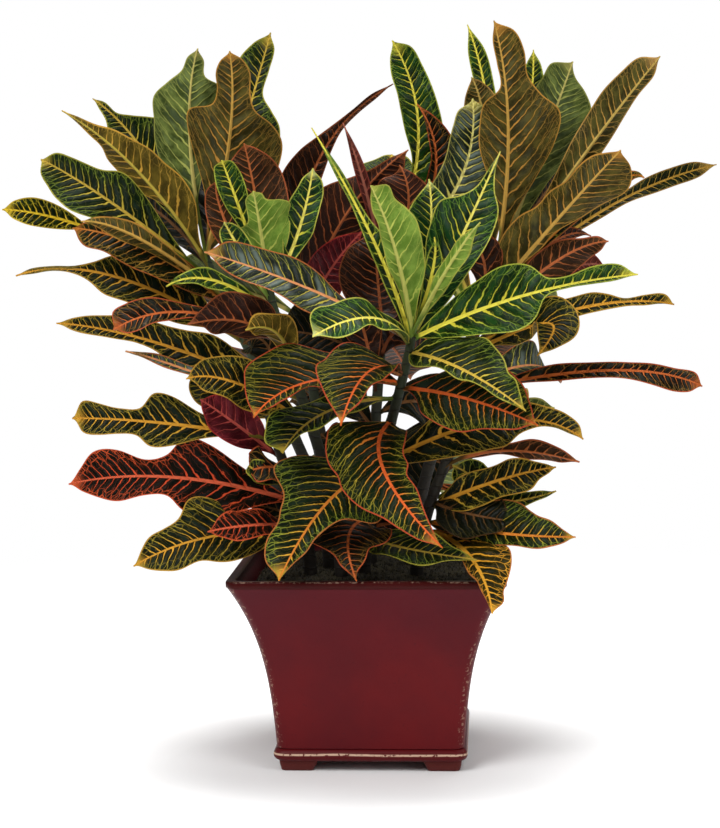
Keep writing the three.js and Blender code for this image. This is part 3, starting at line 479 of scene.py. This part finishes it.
def leaf_finish(name, look, under):
    """A croton blade: midrib, forking side veins, a fine net between them and a margin."""
    f = Finish(name)
    phase, reach = f.uv("veins")
    along, across = f.uv("place")
    edge, share = f.uv("edge")
    flat = f.join(along, across)
    side = across.above(0.0)
    reach = abs(reach)
    off_rib = abs(across)
    half = edge + off_rib

    def patches(scale, detail, roughness=0.5):
        return f.noise(flat, scale, detail, roughness, "2D")

    # Side veins: each has its own place, girth and fork.
    wander = patches(WANDER_SCALE, 2.0) - 0.5
    number = phase + side * 0.5 + wander * VEIN_WANDER
    chance = f.node("ShaderNodeTexWhiteNoise", {"noise_dimensions": "2D"},
                    {"Vector": f.join(number.floor(), side * 7.0)}, 1)
    shift, girth, fork = f.parts(chance)
    off_vein = abs(number.fraction() - 0.5 - (shift - 0.5) * VEIN_SHIFT)
    split = (reach - FORK_REACH - fork * FORK_SPREAD).most(0.0) * FORK_OPENING
    off_vein = abs(off_vein - split)
    taper = (girth * VEIN_HALF_SPREAD + VEIN_HALF) * look["width"] * (1.0 - reach)
    width = taper * (1.15 - reach * 0.6) + VEIN_HALF_LEAST
    fade = 1.0 - reach * reach * 0.4
    main = off_vein.step(width + VEIN_SOFTNESS, width - VEIN_SOFTNESS * 0.3) * fade
    minor_off = abs((number * 2.0 + wander).fraction() - 0.5)
    minor = minor_off.step(*MINOR_HALF) * MINOR_SHOWS * (1.0 - reach * 0.5)

    # The blade swells between the veins, and where it does a painted sheen may lie on it, a pale colour
    # that stands in for highlights.
    pucker = off_vein.step(0.0, 0.45) * (1.0 - reach * 0.5)
    painted_sheen = pucker * patches(PAINTED_SHEEN_SCALE, 2.0).step(0.42, 0.62) * look["painted_sheen"]
    cells = f.node(
        "ShaderNodeTexVoronoi", {"feature": "DISTANCE_TO_EDGE", "voronoi_dimensions": "2D"},
        {"Vector": f.join(along * NET_ALONG + wander, across * NET_ACROSS),
         "Scale": 1.0, "Randomness": 0.95},
    )
    net_shows = (reach + share * 0.3 - 0.1).step(0.45, 1.1) * look["net"]
    net = cells.step(*NET_LINE) * net_shows

    rib_half = (1.0 - share) * RIB_LINE_TAPER * look["width"] + RIB_LINE_HALF
    rib = off_rib.step(rib_half + 0.35, rib_half - 0.15)
    margin = edge.step(*MARGIN_LINE) * half.step(1.5, 4.0)
    tip = share.step(0.9, 1.0)
    stalk = half.step(*STALK_HALF) * share.step(0.93, 0.85)

    mottle = patches(MOTTLE_SCALE, 3.0, 0.6)
    blade = f.mix(mottle.step(0.35, 0.7), look["blade"], look["mottle"])
    halo = off_vein.step(0.16, 0.05) * HALO_SHOWS * (1.0 - reach * 0.4)
    vein_tint = f.mix(reach.step(0.15, 0.8), look["vein"], look["vein_out"])
    veins = main.most(net).most(minor).most(tip * (mottle * 0.6 + 0.55))
    # Painted sheen: pale patches between the veins stand in for highlights.
    tint = f.mix(painted_sheen, f.mix(halo * 0.3, blade, vein_tint), PAINTED_SHEEN_COLOUR)
    tint = f.mix(veins.least(1.0), tint, vein_tint)
    for shows, part in ((tip * 0.7, "tip"), (margin * 0.9, "margin"), (rib, "rib"), (stalk, "stalk")):
        tint = f.mix(shows, tint, look[part])

    crease = main.most(minor * 0.6).most(net * 0.5) * 0.3
    fine = patches(FINE_SCALE, 3.0) * 0.2
    height = (pucker - crease) * (-0.4 if under else 1.0) + rib * 0.5 + fine
    rough = mottle * 0.14 + (UNDERSIDE_ROUGHNESS if under else FACE_ROUGHNESS) + crease * 0.3
    return f.output(f.principled(Base_Color=tint, Roughness=rough, Normal=f.bump(height, BLADE_BUMP, 0.8),
                                 Specular_IOR_Level=look["gloss"]))


# Pale colour of the specks on the rim's edge and of the painted highlights on the moulding and corners
PALE_SPECK_AND_HIGHLIGHT = "#c8a890"
HIGHLIGHT_LINE_STARTS, LINE_ENDS = (12.2, 13.0), (14.4, 13.6)  # the painted highlight line along the moulding


def glaze_finish():
    """Maroon glaze, darker under the rim, with pale specks along the rim's edge and painted highlights
    along the moulding and up the corners.
    """
    f = Finish("maroon_glaze")
    spot = f.place()
    x, y, z = f.parts(spot)
    cloud = f.noise(spot, 14.0, 4.0)
    speck = f.noise(spot, 420.0, 2.0)
    grain = f.noise(spot, 1500.0, 2.0)
    height = z * 1000.0
    out = abs(x).most(abs(y)) * 1000.0
    sideways = (abs(x) + abs(y)) * 1000.0 - out

    tint = f.mix(cloud.step(0.3, 0.7), "#520f15", "#5e1014")
    upper_body = height.step(70.0, POT_HEIGHT + 3.0)
    rim_band = height.step(BODY_TOP - 0.5, BODY_TOP + 0.3)
    moulding = height.step(MOULDING_TOP + 0.2, MOULDING_TOP - 1.0)
    feet = height.step(FOOT_HEIGHT + 0.6, FOOT_HEIGHT - 1.0)
    for shows, code in ((upper_body * 0.5, "#421620"), (rim_band, "#380605"),
                        (moulding, "#541417"), (feet * 0.6, "#5c2c26")):
        tint = f.mix(shows, tint, code)

    # Pale specks along the rim's top edge, a painted highlight line along the moulding and painted
    # highlight patches up the corners.
    rim_specks = height.step(POT_HEIGHT - 1.4, POT_HEIGHT - 0.2) * speck.step(0.5, 0.62) \
        * out.step(RIM_HALF - 3.0, RIM_HALF - 1.0)
    line = height + cloud * 3.0 - 1.5
    moulding_highlight = line.step(*HIGHLIGHT_LINE_STARTS) * line.step(*LINE_ENDS) * speck.step(0.36, 0.46)
    corner_highlight = (out - sideways).step(6.0, 2.0) * speck.step(0.56, 0.66) \
        * height.step(FOOT_HEIGHT, 20.0)
    # The rim specks and the painted highlights share one pale colour, and the glaze is rougher there.
    specks_and_highlights = (rim_specks * 0.4).most(moulding_highlight).most(corner_highlight * 0.35)
    tint = f.mix(specks_and_highlights, tint, PALE_SPECK_AND_HIGHLIGHT)
    tint = f.mix(speck.step(0.66, 0.74) * 0.35, tint, "#3c1016")
    return f.output(f.principled(
        Base_Color=tint, Roughness=speck * 0.12 + 0.3 + specks_and_highlights * 0.25, Specular_IOR_Level=0.1,
        Normal=f.bump(cloud * 1.2 + speck * 0.25 + grain * 0.08, 0.0006, 0.5),
    ))


def soil_finish():
    f = Finish("potting_soil")
    lumps = f.noise(f.place(), 160.0, 5.0, 0.65)
    tint = f.mix(lumps.step(0.3, 0.7), "#0d0a06", "#221a11")
    return f.output(f.principled(Base_Color=tint, Roughness=0.95, Normal=f.bump(lumps, 0.002)))


def moss_finish():
    f = Finish("dry_moss")
    spot = f.place()
    lumps = f.noise(spot, 120.0, 5.0, 0.65)
    fibres = f.noise(spot, 700.0, 3.0, 0.7)
    tint = f.mix(lumps.step(0.35, 0.65), "#15120a", "#332c14")
    tint = f.mix(fibres.step(0.5, 0.75), tint, "#4c4220")
    normal = f.bump(lumps + fibres * 0.5, 0.002)
    return f.output(f.principled(Base_Color=tint, Roughness=0.9, Normal=normal))


SCARS_TO_A_METRE = 110.0
BARK_GREENS = (230.0, 360.0)   # heights in millimetres


def bark_finish():
    """Grey-brown bark below, green towards the head, with scars where leaves have dropped."""
    f = Finish("stem_bark")
    spot = f.place()
    _, _, z = f.parts(spot)
    grain = f.noise(spot, 300.0, 4.0, 0.6)
    patch = f.noise(spot, 40.0, 2.0)
    scar = abs((z * SCARS_TO_A_METRE + patch).fraction() - 0.5).step(0.08, 0.02)
    green = (z * 1000.0 + patch * 60.0).step(*BARK_GREENS)
    tint = f.mix(grain.step(0.3, 0.7), "#16110a", "#281f13")
    tint = f.mix(green, tint, "#263514")
    tint = f.mix(scar * 0.6, tint, "#1a140b")
    normal = f.bump(grain + scar, 0.001)
    return f.output(f.principled(Base_Color=tint, Roughness=grain * 0.2 + 0.6, Normal=normal))


# ---------------------------------------- mesh helpers


def add_object(name, data):
    made = bpy.data.objects.new(name, data)
    bpy.context.scene.collection.objects.link(made)
    return made


def piece(name, points, faces, materials, node):
    """A mesh in metres from points in millimetres, which stands for a CAD node."""
    mesh = bpy.data.meshes.new(name)
    mesh.from_pydata([tuple(p * MM for p in point) for point in points], [], faces)
    for material in materials:
        mesh.materials.append(material)
    mesh.shade_smooth()
    mesh.update()
    made = add_object(name, mesh)
    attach(made, "root")
    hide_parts(node)
    return made


def unit(vector):
    return vector / np.linalg.norm(vector)


def bezier(points, t):
    a, b, c, d = points
    s = 1 - t
    return s ** 3 * a + 3 * s * s * t * b + 3 * s * t * t * c + t ** 3 * d


def stem_points(name):
    (x, y), (top_x, top_y, top_z) = STEMS[name]
    rise = top_z - MOSS_TOP
    return [np.array(p, float) for p in (
        (x, y, MOSS_TOP), (x, y, MOSS_TOP + STEM_STRAIGHT * rise),
        (x + STEM_OUT * (top_x - x), y + STEM_OUT * (top_y - y), MOSS_TOP + STEM_UP * rise),
        (top_x, top_y, top_z),
    )]


SIGHT = AIM - EYE
LEVEL_RIGHT = unit(np.array([SIGHT[1], -SIGHT[0], 0.0]))
LEVEL_UP = unit(np.cross(LEVEL_RIGHT, SIGHT))
LEAN = math.radians(ROLL)
SIGHT_RIGHT = LEVEL_RIGHT * math.cos(LEAN) - LEVEL_UP * math.sin(LEAN)
SIGHT_UP = LEVEL_UP * math.cos(LEAN) + LEVEL_RIGHT * math.sin(LEAN)


def sight_place(reading):
    """The place seen at across and up, at a depth behind the planter's middle."""
    across, depth, up = reading
    ray = SIGHT + SIGHT_RIGHT * (across - AIM_READING[0]) + SIGHT_UP * (up - AIM_READING[1])
    return EYE + ray * (depth - EYE[1]) / ray[1]


def outline_at(outline, t):
    """Share of half the width at t, on a smooth line through the outline's digits."""
    f = [int(digit) / 9 for digit in outline]
    last = len(f) - 1
    i = min(int(t * last), last - 1)
    u = t * last - i
    a, b, c, d = f[max(i - 1, 0)], f[i], f[i + 1], f[min(i + 2, last)]
    value = 2 * b + (c - a) * u + (2 * a - 5 * b + 4 * c - d) * u ** 2 \
        + (3 * b - a - 3 * c + d) * u ** 3
    return max(0.0, value / 2)


# ---------------------------------------- leaves

SIDE_COLUMNS = 8
COLUMN_CROWDING = 1.4          # above 1, the columns lie closer at the midrib
ROW_LENGTH = 2.6               # millimetres of midrib to a row
LEAST_ROWS = 20
TRACK_SAMPLES = 41             # for the midrib's length
VEIN_NUMBERS_APART, PLACES_APART = 37, 211  # so that no two leaves share a pattern
LEAF_SHARP_ANGLE = math.radians(55)


def leaf_grid(index):
    """Upper and lower points of a leaf, row by row, and six values of pattern for each point."""
    stem, _, at, halfway, tip, facing, twist, width, left, *right = LEAVES[index]
    outlines = (left, right[0] if right else left)
    start = bezier(stem_points(stem), at)
    middle, end = sight_place(halfway), sight_place(tip)
    bend = 2 * middle - (start + end) / 2
    bearing, lift = map(math.radians, facing)
    looks = np.array([math.sin(bearing) * math.cos(lift), -math.cos(bearing) * math.cos(lift),
                      math.sin(lift)])
    spans = np.linspace(0, 1, TRACK_SAMPLES)
    track = np.array([(1 - t) ** 2 * start + 2 * t * (1 - t) * bend + t * t * end for t in spans])
    lengths = np.concatenate([[0], np.cumsum(np.linalg.norm(np.diff(track, axis=0), axis=1))])
    length = lengths[-1]
    rows = max(LEAST_ROWS, round(length / ROW_LENGTH))
    columns = [0.0] + [(j / SIDE_COLUMNS) ** COLUMN_CROWDING for j in range(1, SIDE_COLUMNS + 1)]
    sides = [-c for c in reversed(columns[1:])] + columns
    rng = random.Random(index * 31 + 5)
    swell, side_swell = rng.uniform(0, ANY_TURN), rng.uniform(0, ANY_TURN)
    upper, lower, pattern = [], [], []
    for i in range(rows + 1):
        t = i / rows
        centre = (1 - t) ** 2 * start + 2 * t * (1 - t) * bend + t * t * end
        along = unit(2 * (1 - t) * (bend - start) + 2 * t * (end - bend))
        normal = unit(looks - looks.dot(along) * along)
        turn = math.radians(twist) * (t - 0.5)
        normal = normal * math.cos(turn) + np.cross(along, normal) * math.sin(turn)
        across = np.cross(along, normal)
        stalk = PETIOLE_HALF * (1 - PETIOLE_TAPER * t) if t < 1 else TIP_HALF
        halves = [max(stalk, outline_at(outline, t) * width / 2) for outline in outlines]
        place_along = np.interp(t, spans, lengths)
        vein_number = length / VEIN_SPACING * (VEINS_EVEN * t + (1 - VEINS_EVEN) * t * t)
        for s in sides:
            half = halves[0] if s < 0 else halves[1]
            reach = abs(s)
            sign = 1 if s > 0 else -1
            out = reach * half
            wave = WAVE * min(1, half / WAVE_HALF) * math.sin(
                2 * math.pi * WAVES * t + index * WAVE_SHIFT + sign) * reach ** 2
            quilt = QUILT * min(1, half / QUILT_HALF) * math.sin(math.pi * reach) \
                * math.sin(QUILT_RATE * place_along + swell + sign * side_swell)
            rise = FOLD * out + wave + quilt - GROOVE_DEPTH * math.exp(-(out / GROOVE_HALF) ** 2)
            top = centre + across * s * half + along * VEIN_SWEEP * out + normal * rise
            keel = (MIDRIB_DEPTH * (1 - t) + MIDRIB_TIP_DEPTH) * max(0.0, 1 - (out / MIDRIB_HALF) ** 2)
            upper.append(top)
            lower.append(top - normal * (BLADE_THICKNESS * (1 - EDGE_THINNING * reach ** 4) + keel))
            lean = vein_number - (VEIN_LEAN * out + VEIN_CURL * out * out) / VEIN_SPACING
            pattern.append((lean + index * VEIN_NUMBERS_APART, s, place_along + index * PLACES_APART,
                            s * half, half - out, t))
    return rows, len(sides), upper, lower, pattern


def leaf_mesh(index):
    stem, look = LEAVES[index][:2]
    rows, across_count, upper, lower, pattern = leaf_grid(index)
    shift = len(upper)
    faces, finishes = [], []
    face, underside = 0, 1
    for i in range(rows):
        for j in range(across_count - 1):
            a = i * across_count + j
            b, c, d = a + 1, a + across_count + 1, a + across_count
            faces += [(a, b, c, d), (a + shift, d + shift, c + shift, b + shift)]
            finishes += [face, underside]
        for a, b in ((i * across_count, (i + 1) * across_count),
                     ((i + 2) * across_count - 1, (i + 1) * across_count - 1)):
            faces.append((a, b, b + shift, a + shift))
            finishes.append(face)
    for j in range(across_count - 1):
        a = rows * across_count + j
        faces += [(j + 1, j, j + shift, j + 1 + shift), (a, a + 1, a + 1 + shift, a + shift)]
        finishes += [face, face]
    made = piece(f"leaf_{stem}_{index:03d}", upper + lower, faces, LEAF_FINISHES[look],
                 f"leafy_stem_{stem}")
    mesh = made.data
    mesh.polygons.foreach_set("material_index", finishes)
    corner_points = np.zeros(len(mesh.loops), int)
    mesh.loops.foreach_get("vertex_index", corner_points)
    values = np.array(pattern + pattern)[corner_points]
    for k, name in enumerate(("veins", "place", "edge")):
        layer = mesh.uv_layers.new(name=name)
        layer.data.foreach_set("uv", values[:, 2 * k:2 * k + 2].ravel())
    mesh.set_sharp_from_angle(angle=LEAF_SHARP_ANGLE)
    mesh.update()


LEAF_FINISHES = {
    name: (leaf_finish(f"leaf_{name}_face", look, False),
           leaf_finish(f"leaf_{name}_underside", UNDER_TONES[name], True))
    for name, look in UPPER_TONES.items()
}

for leaf_index in range(len(LEAVES)):
    leaf_mesh(leaf_index)

# ---------------------------------------- stems

STEM_SIDES, STEM_RINGS = 16, 60
TANGENT_STEP = 0.01
NODES_TO_A_STEM = 14           # rings left by dropped leaves
NODE_SWELL = 0.35
STEM_UNEVENNESS = 0.12


def skin(first, sides, rings):
    """Faces of a closed tube over rings of points, the first of which starts at first."""
    faces = []
    for i in range(rings - 1):
        for k in range(sides):
            a, b = first + i * sides + k, first + i * sides + (k + 1) % sides
            faces.append((a, b, b + sides, a + sides))
    last = first + (rings - 1) * sides
    faces.append(tuple(first + k for k in reversed(range(sides))))
    faces.append(tuple(last + k for k in range(sides)))
    return faces


def stem_mesh(name, finish, phase):
    points = []
    track = stem_points(name)
    for i in range(STEM_RINGS + 1):
        t = i / STEM_RINGS
        centre = bezier(track, t)
        if i == 0:
            centre = np.array([centre[0], centre[1], STEM_FOOT])
        ahead = bezier(track, min(1, t + TANGENT_STEP)) - bezier(track, max(0, t - TANGENT_STEP))
        along = unit(ahead)
        first = unit(np.cross(along, np.array([0.0, 1.0, 0.0])))
        second = np.cross(along, first)
        radius = STEM_FOOT_RADIUS + (STEM_TOP_RADIUS - STEM_FOOT_RADIUS) * t
        swell = NODE_SWELL * max(0, math.cos(t * 2 * math.pi * NODES_TO_A_STEM + phase)) ** 6
        for k in range(STEM_SIDES):
            angle = 2 * math.pi * k / STEM_SIDES
            r = radius + swell + STEM_UNEVENNESS * math.sin(3 * angle + 9 * t + phase)
            points.append(centre + (first * math.cos(angle) + second * math.sin(angle)) * r)
    piece(f"stem_{name}", points, skin(0, STEM_SIDES, STEM_RINGS + 1), [finish],
          f"leafy_stem_{name}")


bark = bark_finish()
stem_chance = random.Random(7)
for stem_name in STEMS:
    stem_mesh(stem_name, bark, stem_chance.uniform(0, ANY_TURN))

# ---------------------------------------- planter

CORNER_SEGMENTS, FOOT_SEGMENTS = 8, 4
MOULDING_STEPS, BODY_STEPS, LIP_STEPS, INNER_STEPS = 8, 30, 4, 11
PLANTER_SHARP_ANGLE = math.radians(40)
# Under the rim band the body steps out: up from the body's top, and in from the rim
RIM_STEPS = ((0.15, 0.9), (0.7, 0.2), (1.4, 0.0))
# Rings of a foot: height, width, and how far out it reaches
FOOT_RINGS = (
    (0, FOOT_BOTTOM, FOOT_OUTER_HALF - 2.0),
    (0.8, FOOT_BOTTOM + 1, FOOT_OUTER_HALF - 1.0),
    (FOOT_HEIGHT * 0.6, FOOT_BOTTOM + 4, FOOT_OUTER_HALF),
    (FOOT_HEIGHT + 1.5, FOOT_TOP, FOOT_OUTER_HALF + 0.5),
)


def rounded_square(half, radius, z, segments=CORNER_SEGMENTS):
    ring = []
    centre = half - radius
    for corner in range(4):
        turn = corner * math.pi / 2
        x = centre * math.cos(turn) - centre * math.sin(turn)
        y = centre * math.sin(turn) + centre * math.cos(turn)
        for i in range(segments + 1):
            angle = turn + (i / segments) * math.pi / 2
            ring.append((x + radius * math.cos(angle), y + radius * math.sin(angle), z))
    return ring


def body_half(z):
    rise = (z - MOULDING_TOP) / (BODY_TOP - MOULDING_TOP)
    return BODY_HALF + BODY_STRAIGHT_FLARE * rise + BODY_CURVED_FLARE * rise ** 3


def planter_rings():
    """Outside from the moulding to the lip, then inside down to the planter's floor."""
    lip_centre = POT_HEIGHT - LIP
    lip_angles = [math.pi / 2 * k / LIP_STEPS for k in range(LIP_STEPS + 1)]
    for k in range(MOULDING_STEPS + 1):
        angle = math.pi * k / MOULDING_STEPS
        z = FOOT_HEIGHT + (MOULDING_TOP - FOOT_HEIGHT) * (1 - math.cos(angle)) / 2
        bulge = MOULDING_BULGE * math.sin(angle)
        yield rounded_square(MOULDING_HALF - MOULDING_BULGE + bulge, MOULDING_ROUNDING, z)
    for k in range(BODY_STEPS + 1):
        z = BODY_START + (BODY_TOP - BODY_START) * k / BODY_STEPS
        yield rounded_square(body_half(z), POT_ROUNDING, z)
    for up, inset in RIM_STEPS:
        yield rounded_square(RIM_HALF - inset, POT_ROUNDING, BODY_TOP + up)
    for angle in lip_angles:
        inset = LIP * (1 - math.cos(angle))
        yield rounded_square(RIM_HALF - inset, POT_ROUNDING, lip_centre + LIP * math.sin(angle))
    for angle in lip_angles:
        yield rounded_square(RIM_HALF - WALL + LIP - LIP * math.sin(angle), INNER_ROUNDING,
                             lip_centre + LIP * math.cos(angle))
    for k in range(INNER_STEPS + 1):
        z = BODY_TOP - (BODY_TOP - POT_FLOOR) * k / INNER_STEPS
        yield rounded_square(body_half(z) - WALL, INNER_ROUNDING, z)


def foot_rings(side_x, side_y):
    for z, width, outer in FOOT_RINGS:
        half = width / 2
        yield [(x + side_x * (outer - half), y + side_y * (outer - half), z)
               for x, y, _ in rounded_square(half, FOOT_ROUNDING, z, FOOT_SEGMENTS)]


def planter_mesh():
    points, faces = [], []
    feet = [foot_rings(x, y) for x, y in ((1, 1), (-1, 1), (-1, -1), (1, -1))]
    for rings in map(list, [planter_rings(), *feet]):
        faces += skin(len(points), len(rings[0]), len(rings))
        points += [point for ring in rings for point in ring]
    made = piece("glazed_planter", points, faces, [glaze_finish()], "planter")
    made.data.set_sharp_from_angle(angle=PLANTER_SHARP_ANGLE)


planter_mesh()

# ---------------------------------------- soil and moss

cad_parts["soil"].data.materials.clear()
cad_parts["soil"].data.materials.append(soil_finish())

MOSS_GAP = 1.2                 # to the planter's wall
MOSS_CELLS = 70
MOSS_LUMPS = 160
LUMP_SIZES, LUMP_HEIGHTS, LUMP_LIMITS = (5, 12), (-1.2, 1.8), (-2.0, 2.2)
MOSS_SWELL = 0.8
MOSS_BORDER, MOSS_DROP = 5, 4.5  # the bed's edge falls away
FIBRES = 5200
FIBRE_HALF_WIDTH = 0.35
FIBRE_INSET = 2
FIBRE_SINK = 0.4
FIBRE_LEANS, FIBRE_LENGTHS = (0.2, 1.2), (1.6, 3.8)


def moss_mesh():
    """A lumpy bed with short curled fibres standing in it."""
    half = body_half(SOIL_TOP) - WALL - MOSS_GAP
    rng = random.Random(11)
    bumps = np.array([
        (rng.uniform(-half, half), rng.uniform(-half, half), rng.uniform(*LUMP_SIZES),
         rng.uniform(*LUMP_HEIGHTS)) for _ in range(MOSS_LUMPS)
    ])

    def height_at(x, y):
        far = ((bumps[:, :2] - (x, y)) ** 2).sum(1)
        lumps = (bumps[:, 3] * np.exp(-far / bumps[:, 2] ** 2)).sum()
        slow = MOSS_SWELL * math.sin(x * 0.11 + 1) * math.cos(y * 0.13 - 0.6)
        return MOSS_TOP + slow + max(LUMP_LIMITS[0], min(LUMP_LIMITS[1], lumps))

    points, faces = [], []
    count, row = MOSS_CELLS, MOSS_CELLS + 1
    for i in range(row):
        for j in range(row):
            x, y = half * (2 * i / count - 1), half * (2 * j / count - 1)
            border = min(half - abs(x), half - abs(y))
            drop = MOSS_DROP * max(0.0, 1 - border / MOSS_BORDER) ** 2
            points.append((x, y, height_at(x, y) - drop))
    for i in range(count):
        for j in range(count):
            a = i * row + j
            faces.append((a, a + row, a + row + 1, a + 1))
    skirt = [i * row for i in range(row)]
    skirt += [count * row + j for j in range(1, row)]
    skirt += [i * row + count for i in range(count - 1, -1, -1)]
    skirt += list(range(count - 1, 0, -1))
    base, around = len(points), len(skirt)
    points += [(points[k][0], points[k][1], SOIL_TOP + 0.3) for k in skirt]
    for k in range(around):
        a, b = skirt[k], skirt[(k + 1) % around]
        faces.append((b, a, base + k, base + (k + 1) % around))
    faces.append(tuple(base + k for k in reversed(range(around))))

    inner = half - FIBRE_INSET
    for _ in range(FIBRES):
        x, y = rng.uniform(-inner, inner), rng.uniform(-inner, inner)
        z = height_at(x, y) - FIBRE_SINK
        turn, lean, reach = rng.uniform(0, ANY_TURN), rng.uniform(*FIBRE_LEANS), rng.uniform(*FIBRE_LENGTHS)
        dx, dy = math.cos(turn), math.sin(turn)
        w = FIBRE_HALF_WIDTH
        a = len(points)
        mid = (x + dx * reach * 0.4 * lean, y + dy * reach * 0.4 * lean, z + reach * 0.5)
        end = (x + dx * reach * lean, y + dy * reach * lean, z + reach * (0.9 - 0.4 * lean))
        points += [(x - dy * w, y + dx * w, z), (x + dy * w, y - dx * w, z),
                   (mid[0] + dy * w, mid[1] - dx * w, mid[2]),
                   (mid[0] - dy * w, mid[1] + dx * w, mid[2]), end]
        faces += [(a, a + 1, a + 2, a + 3), (a + 3, a + 2, a + 4)]
    piece("moss_bed", points, faces, [moss_finish()], "moss")


moss_mesh()

# ---------------------------------------- floor, light, camera

# In metres
FLOOR_HALF = 1.2
FLOOR_CLEARS = (0.45, 1.0)
# The floor's painted glow rises over an oval round the planter and lifts the shadow there
SHADOW_FADES = (0.1, 0.25)
SHADOW_CENTRE_Y = -0.04
SHADOW_ACROSS, SHADOW_BACK = 0.75, 1.4  # how the fading's oval is squeezed
# Name: place, target, size, watts
LAMPS = {
    "key_softbox": ((-1.1, -1.5, 1.9), (0, 0, 0.25), (1.2, 1.2), 38),
    "fill_softbox": ((1.5, -1.3, 1.2), (0, 0, 0.25), (1.0, 1.4), 15),
    "top_softbox": ((0.1, 0.3, 2.2), (0, 0, 0.2), (1.6, 1.6), 36),
}
ROOM_LIGHT = 0.26


def floor_finish():
    """Pale and matt, with a painted glow that grows away from the planter so that the shadow fades sooner,
    and clear further out.
    """
    f = Finish("pale_floor")
    spot = f.place()
    x, y, _ = f.parts(spot)
    y_off = y - SHADOW_CENTRE_Y
    far = f.math("SQRT", x * x + y * y)
    spread = f.math("SQRT", x * x * SHADOW_ACROSS + y_off * y_off * SHADOW_BACK)
    plain = f.principled(
        Base_Color=f.mix(f.noise(spot, 3.0, 2.0), "#f4f4f4", "#f8f8f8"),
        Roughness=0.9, Specular_IOR_Level=0.0,
        # Painted light: the floor glows, more so away from the planter.
        Emission_Color=f.mix(spread.step(*SHADOW_FADES), "#000000", "#c4c4c4"),
        Emission_Strength=1.0,
    )
    clear = f.node("ShaderNodeBsdfTransparent")
    mixed = f.node("ShaderNodeMixShader", None, {0: far.step(*FLOOR_CLEARS), 1: plain, 2: clear})
    return f.output(mixed)


floor_mesh = bpy.data.meshes.new("floor")
floor_mesh.from_pydata(
    [(x * FLOOR_HALF, y * FLOOR_HALF, 0) for x, y in ((-1, -1), (1, -1), (1, 1), (-1, 1))],
    [], [(0, 1, 2, 3)])
floor_mesh.materials.append(floor_finish())
floor = add_object("floor", floor_mesh)


def lamp(name, place, target, size, power):
    data = bpy.data.lights.new(name, "AREA")
    data.shape = "RECTANGLE"
    data.size, data.size_y = size
    data.energy = power
    made = add_object(name, data)
    made.location = place
    made.rotation_mode = "QUATERNION"
    made.rotation_quaternion = (Vector(target) - Vector(place)).to_track_quat("-Z", "Y")


for lamp_name, lamp_values in LAMPS.items():
    lamp(lamp_name, *lamp_values)

# The background shows white, and lights the room more softly than it shows.
world = bpy.data.worlds.new("studio")
world.use_nodes = True
sky = world.node_tree
backdrop = sky.nodes["Background"]
backdrop.inputs["Color"].default_value = (1, 1, 1, 1)
strength = sky.nodes.new("ShaderNodeMapRange")
strength.inputs["To Min"].default_value = ROOM_LIGHT
path = sky.nodes.new("ShaderNodeLightPath")
sky.links.new(path.outputs["Is Camera Ray"], strength.inputs["Value"])
sky.links.new(strength.outputs["Result"], backdrop.inputs["Strength"])
bpy.context.scene.world = world
bpy.context.scene.view_settings.view_transform = "Standard"

camera_data = bpy.data.cameras.new("camera")
camera_data.lens = LENS
camera_data.sensor_width = 36.0
camera_data.clip_start, camera_data.clip_end = 0.05, 100.0
camera = add_object("camera", camera_data)
camera.location = Vector(EYE * MM)
camera.rotation_mode = "QUATERNION"
axes = Matrix([SIGHT_RIGHT, SIGHT_UP, -unit(SIGHT)]).transposed()
camera.rotation_quaternion = axes.to_quaternion()
bpy.context.scene.camera = camera
